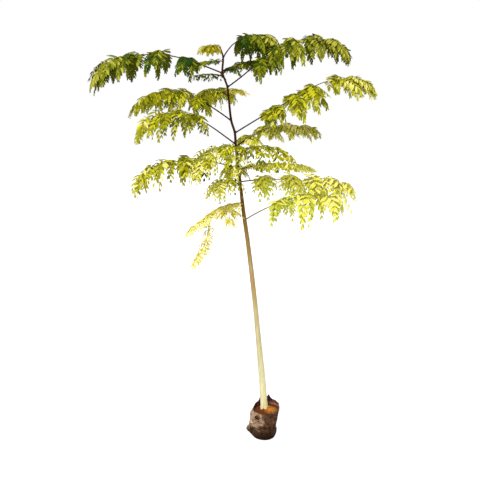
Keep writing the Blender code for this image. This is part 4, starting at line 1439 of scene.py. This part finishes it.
@dataclass(frozen=True)
class GrowBag:
    """Slack film bag: crumpled wall, torn mouth, punched holes and a folded bottom corner."""
    levels: tuple[Triple, ...] = (      # height, centre across, radius
        (0.000, 0.0020, 0.0370), (0.0035, 0.0010, 0.0420), (0.014, -0.0020, 0.0465),
        (0.030, -0.0040, 0.0485), (0.046, -0.0030, 0.0470), (0.064, -0.0020, 0.0490),
        (0.085, 0.0020, 0.0500))
    rim_centre: float = 0.0085
    rim_radius: float = 0.0480
    rim_height: float = 0.110
    rim_side_rise: float = 0.006
    rim_back_rise: float = 0.012
    tears: tuple[Triple, ...] = (       # heading, rise, half width in degrees
        (77.0, 0.017, 17.0), (112.0, 0.015, 13.0), (262.0, -0.004, 20.0))
    frays: tuple[Pair, ...] = (      # how often the edge goes up and down, how far
        (4.5, 0.0022), (17.0, 0.00121), (45.0, 0.00066))
    dents: tuple[tuple[float, ...], ...] = (        # depth, how many round, climb, start
        (0.0011, 3.0, 60.0, 0.0), (0.0008, 5.0, -90.0, 1.3))
    ear_heading: float = 182.0
    ear_width: float = 20.0         # degrees
    ear_height: float = 0.030
    ear_depth: float = 0.014        # how far it reaches up and down
    ear_reach: float = 0.0105
    folds: tuple[tuple[float, ...], ...] = (    # scale round, scale up, start, flat rise, sharpness
        (1.7, 34.0, 0.0, 0.00196, 0.005096), (5.2, 95.0, 7.0, 0.00065, 0.0026))
    wrinkles: Triple = (13.0, 210.0, 0.00065)   # scale round, scale up, rise
    buckles: tuple[Buckle, ...] = (
        Buckle(256.0, 0.047, -0.010, 34.0, 0.0024), Buckle(268.0, 0.036, -0.012, 40.0, 0.0026),
        Buckle(246.0, 0.027, -0.006, 28.0, 0.0018), Buckle(296.0, 0.056, 0.016, 26.0, -0.0026),
        Buckle(322.0, 0.066, 0.020, 24.0, -0.0030), Buckle(214.0, 0.060, 0.014, 24.0, -0.0024),
        Buckle(200.0, 0.050, -0.016, 22.0, 0.0022), Buckle(350.0, 0.030, -0.010, 30.0, 0.0022),
        Buckle(30.0, 0.052, 0.012, 36.0, 0.0024), Buckle(78.0, 0.034, -0.010, 38.0, -0.0026),
        Buckle(118.0, 0.066, 0.014, 30.0, 0.0024), Buckle(152.0, 0.044, -0.012, 30.0, -0.0024))
    buckle_span: float = 0.012      # height from a buckle beyond which it doesn't show
    buckle_width: float = 0.0022
    trough_gap: float = 0.0045      # the trough beside a buckle: its distance, width and depth
    trough_width: float = 0.003
    trough_share: float = 0.45
    flat_below: float = 0.012       # height over which creases and dents fade in from the bottom
    holes: tuple[Hole, ...] = (
        Hole(236.0, 0.0900, 0.0120, 0.0080), Hole(300.0, 0.030, 0.0026, 0.0026),
        Hole(28.0, 0.030, 0.0026, 0.0026), Hole(118.0, 0.032, 0.0026, 0.0026),
        Hole(196.0, 0.066, 0.0026, 0.0026), Hole(72.0, 0.070, 0.0026, 0.0026),
        Hole(338.0, 0.070, 0.0026, 0.0026), Hole(150.0, 0.074, 0.0026, 0.0026))
    film: float = 0.0005
    columns: int = 300
    rows: int = 84
    floor_rings: int = 8

    def rim(self, angle: float) -> float:
        """Height of the torn edge at an angle in radians."""
        height = self.rim_height + self.rim_side_rise * math.cos(angle)
        height += self.rim_back_rise * max(0.0, math.sin(angle))
        for heading, rise, width in self.tears:
            height += rise * clamp(1.0 - abs(self.away(angle, heading)) / width)
        return height + sum(rise * noise.noise(level_at(angle) * often) for often, rise in self.frays)

    @staticmethod
    def away(angle: float, heading: float) -> float:
        """Signed degrees from a heading to an angle in radians."""
        return (math.degrees(angle) - heading + 180.0) % 360.0 - 180.0

    def creases(self, angle: float, height: float) -> float:
        """How far the crumpled film stands out at one place."""
        around = level_at(angle)
        out = sum(flat - sharp * abs(noise.noise(around * wide + UP * (height * tall + start)))
                  for wide, tall, start, flat, sharp in self.folds)
        wide, tall, rise = self.wrinkles
        out += rise * noise.noise(around * wide + UP * height * tall)
        for buckle in self.buckles:
            away = self.away(angle, buckle.heading)
            line = height - buckle.height - buckle.tilt * math.radians(away)
            if abs(line) < self.buckle_span:
                crest = math.exp(-abs(line) / self.buckle_width)
                trough = math.exp(-abs(line - self.trough_gap) / self.trough_width)
                out += buckle.depth * (crest - self.trough_share * trough) * hump(away, buckle.reach)
        return out

    def point(self, angle: float, share: float, inset: float = 0.0) -> Vector:
        """Point on the film from the bottom edge, share 0, to the torn rim, share 1."""
        rim = self.rim(angle)
        height = share * rim
        centre, radius = along(self.levels, height)
        if height > self.levels[-1][0]:
            up = (height - self.levels[-1][0]) / (rim - self.levels[-1][0])
            centre, radius = blend(centre, self.rim_centre, up), blend(radius, self.rim_radius, up)
        slack = sum(depth * math.sin(lobes * angle + climb * height + start)
                    for depth, lobes, climb, start in self.dents)
        slack += self.creases(angle, height)
        ear = self.ear_reach * hump(self.away(angle, self.ear_heading), self.ear_width)
        ear *= hump(height - self.ear_height, self.ear_depth)
        reach = radius + slack * clamp(height / self.flat_below) + ear - inset
        return Vector((centre + reach * math.cos(angle), reach * math.sin(angle), height))

    def surface(self) -> Mesh:
        """The film as one sheet without thickness, its holes cut out."""
        angles = turns(self.columns)
        points = [self.point(angle, row / self.rows) for row in range(self.rows + 1) for angle in angles]
        middle = Vector((self.levels[0][1], 0.0, 0.0))
        for ring in range(1, self.floor_rings):
            points += [middle.lerp(points[column], 1.0 - ring / self.floor_rings)
                       for column in range(self.columns)]
        points.append(middle)
        rings = rings_from(0, self.rows + self.floor_rings, self.columns)
        floor = [ring[::-1] for ring in (rings[0], *rings[self.rows + 1:])]
        faces = [face for face in bands(rings[:self.rows + 1]) if not self.pierced(face, points)]
        return mesh_from("bag_film", points, [], faces + bands(floor) + lid(floor[-1], len(points) - 1))

    def pierced(self, face: Face, points: Sequence[Vector]) -> bool:
        """Whether the middle of a face lies in a hole."""
        middle = sum((points[corner] for corner in face), Vector()) / len(face)
        angle = math.atan2(middle.y, middle.x)
        for hole in self.holes:
            across = math.radians(self.away(angle, hole.heading)) * self.levels[-1][2]
            if math.hypot(across / hole.half_width, (middle.z - hole.height) / hole.half_height) < 1.0:
                return True
        return False

    def build(self, outside: Material, lining: Material) -> Object:
        """The film with its thickness, its lining a finish of its own."""
        mesh = self.surface()
        work = bmesh.new()
        work.from_mesh(mesh)
        loose = [vertex for vertex in work.verts if not vertex.link_faces]
        bmesh.ops.delete(work, geom=loose, context="VERTS")
        work.to_mesh(mesh)
        work.free()
        mesh.materials.append(outside)
        mesh.materials.append(lining)
        shade_smooth(mesh)
        sheet = new_object("sheet", mesh)
        wall = sheet.modifiers.new("wall", "SOLIDIFY")
        wall.thickness, wall.offset, wall.material_offset = self.film, -1.0, 1
        return evaluated(sheet, "bag_film")


@dataclass(frozen=True)
class Soil:
    """Packed soil in the bag, crumbly on top, with loose crumbs."""
    edge_drop: float = 0.011        # it lies this far under the rim
    edge_inset: float = 0.0007
    side_levels: tuple[float, ...] = (0.075, 0.045, 0.020, 0.004)
    side_inset: float = 0.0050
    foot_patch: float = 0.0150
    foot_drop: float = 0.0010
    clod_size: float = 0.0085
    clod_rise: float = 0.0022
    clod_height: float = 0.55       # height of a clod's middle, as a share of the rise
    grain: float = 0.0011
    grain_scale: float = 420.0
    grain_levels: tuple[float, float, int] = (0.8, 2.2, 3)      # how finer grains fade, step, number
    swell: float = 0.0016
    swell_scale: float = 70.0
    calm: float = 6.0               # above 1 the soil is smooth only close to the stem
    mound: float = 0.0150           # rise towards the stem
    columns: int = 220
    rings: int = 46
    crumb_radius: float = 0.00115
    crumb_density: float = 62000.0  # crumbs on each square metre
    crumb_least: float = 0.28       # size of the smallest, and what the largest have over it
    crumb_more: float = 1.1
    crumb_bias: float = 3.0         # above 1 more of them are small
    crumb_flat: float = 0.72
    knob: float = 0.5               # how knobbly a crumb is, as a share of its radius
    knob_scale: float = 700.0

    def edge(self, bag: GrowBag, angle: float) -> Vector:
        """Point where the soil's top meets the film."""
        height = bag.rim_height - self.edge_drop + bag.rim_side_rise * math.cos(angle)
        return bag.point(angle, height / bag.rim(angle), self.edge_inset + bag.film)

    def top(self, bag: GrowBag, stem: Stem, angle: float, share: float) -> Vector:
        """Point on the top, from the film, share 0, to the stem's foot, share 1."""
        foot = stem.axis(stem.joints[0][0]) - UP * self.foot_drop
        target = foot + level_at(angle) * self.foot_patch * (1.0 - share)
        point = self.edge(bag, angle).lerp(target, share)
        distances, _ = noise.voronoi(point / self.clod_size)
        lumps = self.clod_rise * (self.clod_height - distances[0])
        lumps += self.grain * noise.fractal(point * self.grain_scale, *self.grain_levels)
        lumps += self.swell * noise.noise(point * self.swell_scale)
        return point + UP * (lumps * clamp((1.0 - share) * self.calm) + self.mound * share ** 2)

    def build(self, bag: GrowBag, stem: Stem) -> Mesh:
        """Closed body of soil, its top marked for the crumbs."""
        angles = turns(self.columns)
        points = [self.top(bag, stem, angle, ring / self.rings)
                  for ring in range(self.rings) for angle in angles]
        points.append(stem.axis(stem.joints[0][0]))
        pole = len(points) - 1
        for height in self.side_levels:
            points += [bag.point(angle, height / bag.rim(angle), self.side_inset) for angle in angles]
        points.append(Vector((bag.levels[0][1], 0.0, self.side_levels[-1])))
        rings = rings_from(0, self.rings, self.columns)
        top = bands(rings) + lid(rings[-1], pole)
        sides = [rings[0], *rings_from(pole + 1, len(self.side_levels), self.columns)]
        faces = top + bands(sides) + lid(sides[-1], len(points) - 1)
        mesh = mesh_from("soil", points, [], faces)
        face_outwards(mesh)
        mark_faces(mesh, "top", [number < len(top) for number in range(len(faces))])
        shade_smooth(mesh)
        return mesh

    def crumbs(self, body: Mesh, material: Material) -> Object:
        """Loose crumbs strewn over the top by Geometry Nodes."""
        growth = Growth("soil crumbs")
        wiring = growth.wiring
        radius, density, seed = growth.inputs({"Radius": "Float", "Density": "Float", "Seed": "Int"})
        strewn = wiring.add("GeometryNodeDistributePointsOnFaces", {
            "Mesh": growth.source.outputs["Geometry"], "Selection": growth.attribute("top", "BOOLEAN"),
            "Density": density, "Seed": seed}).outputs
        crumb = wiring.out("GeometryNodeMeshIcoSphere", {"Radius": radius, "Subdivisions": 2})
        knobs = wiring.out("ShaderNodeTexNoise", {"Scale": self.knob_scale, "Detail": 1.0})
        knobs = wiring.sum("MULTIPLY", wiring.ranged(knobs, 0.3, 0.7, -self.knob, self.knob), radius)
        uneven = wiring.scaled(wiring.out("GeometryNodeInputNormal"), knobs)
        crumb = wiring.out("GeometryNodeSetPosition", {"Geometry": crumb, "Offset": uneven})
        size = wiring.sum("POWER", wiring.random(0.05, 1.0, seed), self.crumb_bias)
        size = wiring.sum("MULTIPLY_ADD", size, self.crumb_more, self.crumb_least)
        placed = wiring.out("GeometryNodeInstanceOnPoints", {
            "Points": strewn["Points"], "Instance": crumb, "Rotation": strewn["Rotation"],
            "Scale": wiring.scaled((1.0, 1.0, self.crumb_flat), size)})
        growth.finish(placed, [(True, material)])
        return growth.grow(new_object("strewing", body.copy()), "soil_crumbs", {
            "Radius": self.crumb_radius, "Density": self.crumb_density, "Seed": 5})


# ---------------------------------------------------------------- studio

@dataclass(frozen=True)
class Studio:
    """Pale floor, soft light and the camera."""
    camera_place: Triple = (-0.0874, -2.23, 1.267)
    camera_pitch: float = 13.3          # degrees that it looks down
    lens: float = 50.0
    sensor: float = 36.0
    floor_radius: float = 12.0
    floor_segments: int = 96
    floor_shade: float = 0.30
    floor_roughness: float = 0.95
    floor_glow: float = 0.84            # as the camera sees it, so that the shadow stays faint
    floor_bounce: float = 0.45          # as the plant sees it
    sun_strength: float = 2.9
    sun_width: float = 24.0             # degrees; wider is softer
    sun_heading: float = 254.0
    sun_climb: float = 36.0
    sky: float = 0.95                   # as it lights the plant
    backdrop: float = 1.0               # as the camera sees it

    def build(self) -> None:
        """Set up the whole studio."""
        self.lay_floor()
        self.light()
        self.stand_camera()
        scene = bpy.context.scene
        scene.view_settings.view_transform = "Standard"
        scene.view_settings.look = "None"

    @staticmethod
    def by_view(wiring: Wiring, unseen: float, seen: float) -> NodeSocket:
        """A strength that is one for the plant and another for the camera."""
        camera_ray = wiring.add("ShaderNodeLightPath").outputs["Is Camera Ray"]
        return wiring.ranged(camera_ray, 0.0, 1.0, unseen, seen)

    def lay_floor(self) -> None:
        """Round pale floor just under the bag."""
        mesh = bpy.data.meshes.new("floor")
        work = bmesh.new()
        bmesh.ops.create_circle(work, cap_ends=True, segments=self.floor_segments, radius=self.floor_radius)
        work.to_mesh(mesh)
        work.free()
        paint = bpy.data.materials.new("floor")
        paint.use_nodes = True
        wiring, shader = Wiring(paint.node_tree), paint.node_tree.nodes["Principled BSDF"]
        for name, value in (("Base Color", (*(self.floor_shade,) * 3, 1.0)),
                            ("Roughness", self.floor_roughness), ("Emission Color", (*ONES, 1.0)),
                            ("Emission Strength", self.by_view(wiring, self.floor_bounce, self.floor_glow))):
            wiring.feed(shader, name, value)
        mesh.materials.append(paint)
        new_object("floor", mesh)

    def light(self) -> None:
        """Broad sun and a pale sky; the backdrop shows brighter than the sky lights."""
        lamp = bpy.data.lights.new("sun", "SUN")
        lamp.energy, lamp.angle = self.sun_strength, math.radians(self.sun_width)
        shine = -direction(self.sun_heading, self.sun_climb)
        new_object("sun", lamp).rotation_euler = shine.to_track_quat("-Z", "Y").to_euler()
        world = bpy.data.worlds.new("studio")
        world.use_nodes = True
        wiring, sky = Wiring(world.node_tree), world.node_tree.nodes["Background"]
        wiring.feed(sky, "Color", (*ONES, 1.0))
        wiring.feed(sky, "Strength", self.by_view(wiring, self.sky, self.backdrop))
        bpy.context.scene.world = world

    def stand_camera(self) -> None:
        """Camera a little above the crown's middle, looking slightly down."""
        lens = bpy.data.cameras.new("camera")
        lens.lens, lens.sensor_width = self.lens, self.sensor
        camera = new_object("camera", lens)
        camera.location = self.camera_place
        camera.rotation_euler = (math.radians(90.0 - self.camera_pitch), 0.0, 0.0)
        bpy.context.scene.camera = camera


# ---------------------------------------------------------------- the plant

class Sapling:
    """The whole plant, built piece by piece."""
    most_pinnae: int = 400             # more than this and a kind of foliage is split in two pieces

    def __init__(self, effects: Effects) -> None:
        self.effects = effects
        self.stem = Stem()
        self.rule = GrowthRule()
        self.leaves = self.grow_leaves()

    def grow_leaves(self) -> list[Leaf]:
        """Every leaf from its plan, carriers before what they carry."""
        grown: dict[str, Leaf] = {}
        for plan in LEAVES:
            foot = grown[plan.carrier].run.point(plan.height) if plan.carrier else self.stem.axis(plan.height)
            strides = math.ceil(plan.length / self.rule.stride)
            run = Run(foot, plan.heading, plan.length, plan.rise, strides)
            grown[plan.name] = Leaf(plan, run, list(self.rule.pinnae(plan, run)))
        return list(grown.values())

    def build_stem(self) -> Object:
        """Bark of the stem."""
        return settled("bark", self.stem.build(), BARK.build(self.effects), "bark", "trunk")

    def build_limbs(self) -> None:
        """Stalks, rachises, ribs and buds."""
        stalks, rind, green = Stalks(), STALK.build(self.effects), RIB.build(self.effects)
        for name, material, young in (("leaf_stalks", rind, False),
                                      ("young_stalks", YOUNG.build(self.effects), True)):
            chosen = [leaf for leaf in self.leaves if (leaf.plan.tint is Tint.GOLD) is young]
            settled(name, stalks.build_stalks(name, chosen), material, "stalk",
                    *(f"stalk_{leaf.plan.name}" for leaf in chosen))
        settled("rachises", stalks.build_rachises(self.leaves), green, "stalk")
        settle(PinnaRibs().build(self.leaves, MIDRIB.build(self.effects)), "stalk")
        settled("buds", Buds().build(self.stem, self.leaves), rind, "stalk")

    def build_foliage(self, bark: Object) -> None:
        """Leaflets, by tint."""
        rows = LeafletRows()
        for number, tint in enumerate(Tint):
            growth = rows.tree(tint.tops(self.effects), tint.underside(self.effects))
            for part, leaves in enumerate(self.share_out(tint)):
                name = f"leaflets_{tint.label}_{part + 1}"
                leaflet = Leaflet().build()
                piece = rows.build(name, leaves, growth, leaflet, bark, number * 100 + part)
                bpy.data.objects.remove(leaflet, do_unlink=True)
                settle(piece, f"foliage_{tint.label}", *(f"frond_{leaf.plan.name}" for leaf in leaves))

    def share_out(self, tint: Tint) -> list[list[Leaf]]:
        """Leaves of one tint in lots that hold few enough pinnae."""
        lots: list[list[Leaf]] = [[]]
        for leaf in self.leaves:
            if leaf.plan.tint is not tint:
                continue
            if sum(len(other.pinnae) for other in lots[-1]) + len(leaf.pinnae) > self.most_pinnae:
                lots.append([])
            lots[-1].append(leaf)
        return lots

    def build_bag(self) -> None:
        """Film bag, soil and crumbs."""
        bag, soil = GrowBag(), Soil()
        film = bag.build(FilmFinish(name="film").build(self.effects),
                         LiningFinish(name="lining").build(self.effects))
        settle(film, "film", "grow_bag")
        earth = SoilFinish(name="soil").build(self.effects)
        body = settled("soil", soil.build(bag, self.stem), earth, "soil", "root_ball")
        settle(soil.crumbs(body.data, earth), "soil")


def main() -> None:
    """Build the sapling round the frame, and the studio round the sapling."""
    logging.basicConfig(level=logging.INFO, format="%(message)s")
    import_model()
    Studio().build()
    sapling = Sapling(Effects())
    bark = sapling.build_stem()
    sapling.build_limbs()
    sapling.build_foliage(bark)
    sapling.build_bag()


if __name__ == "__main__":
    main()
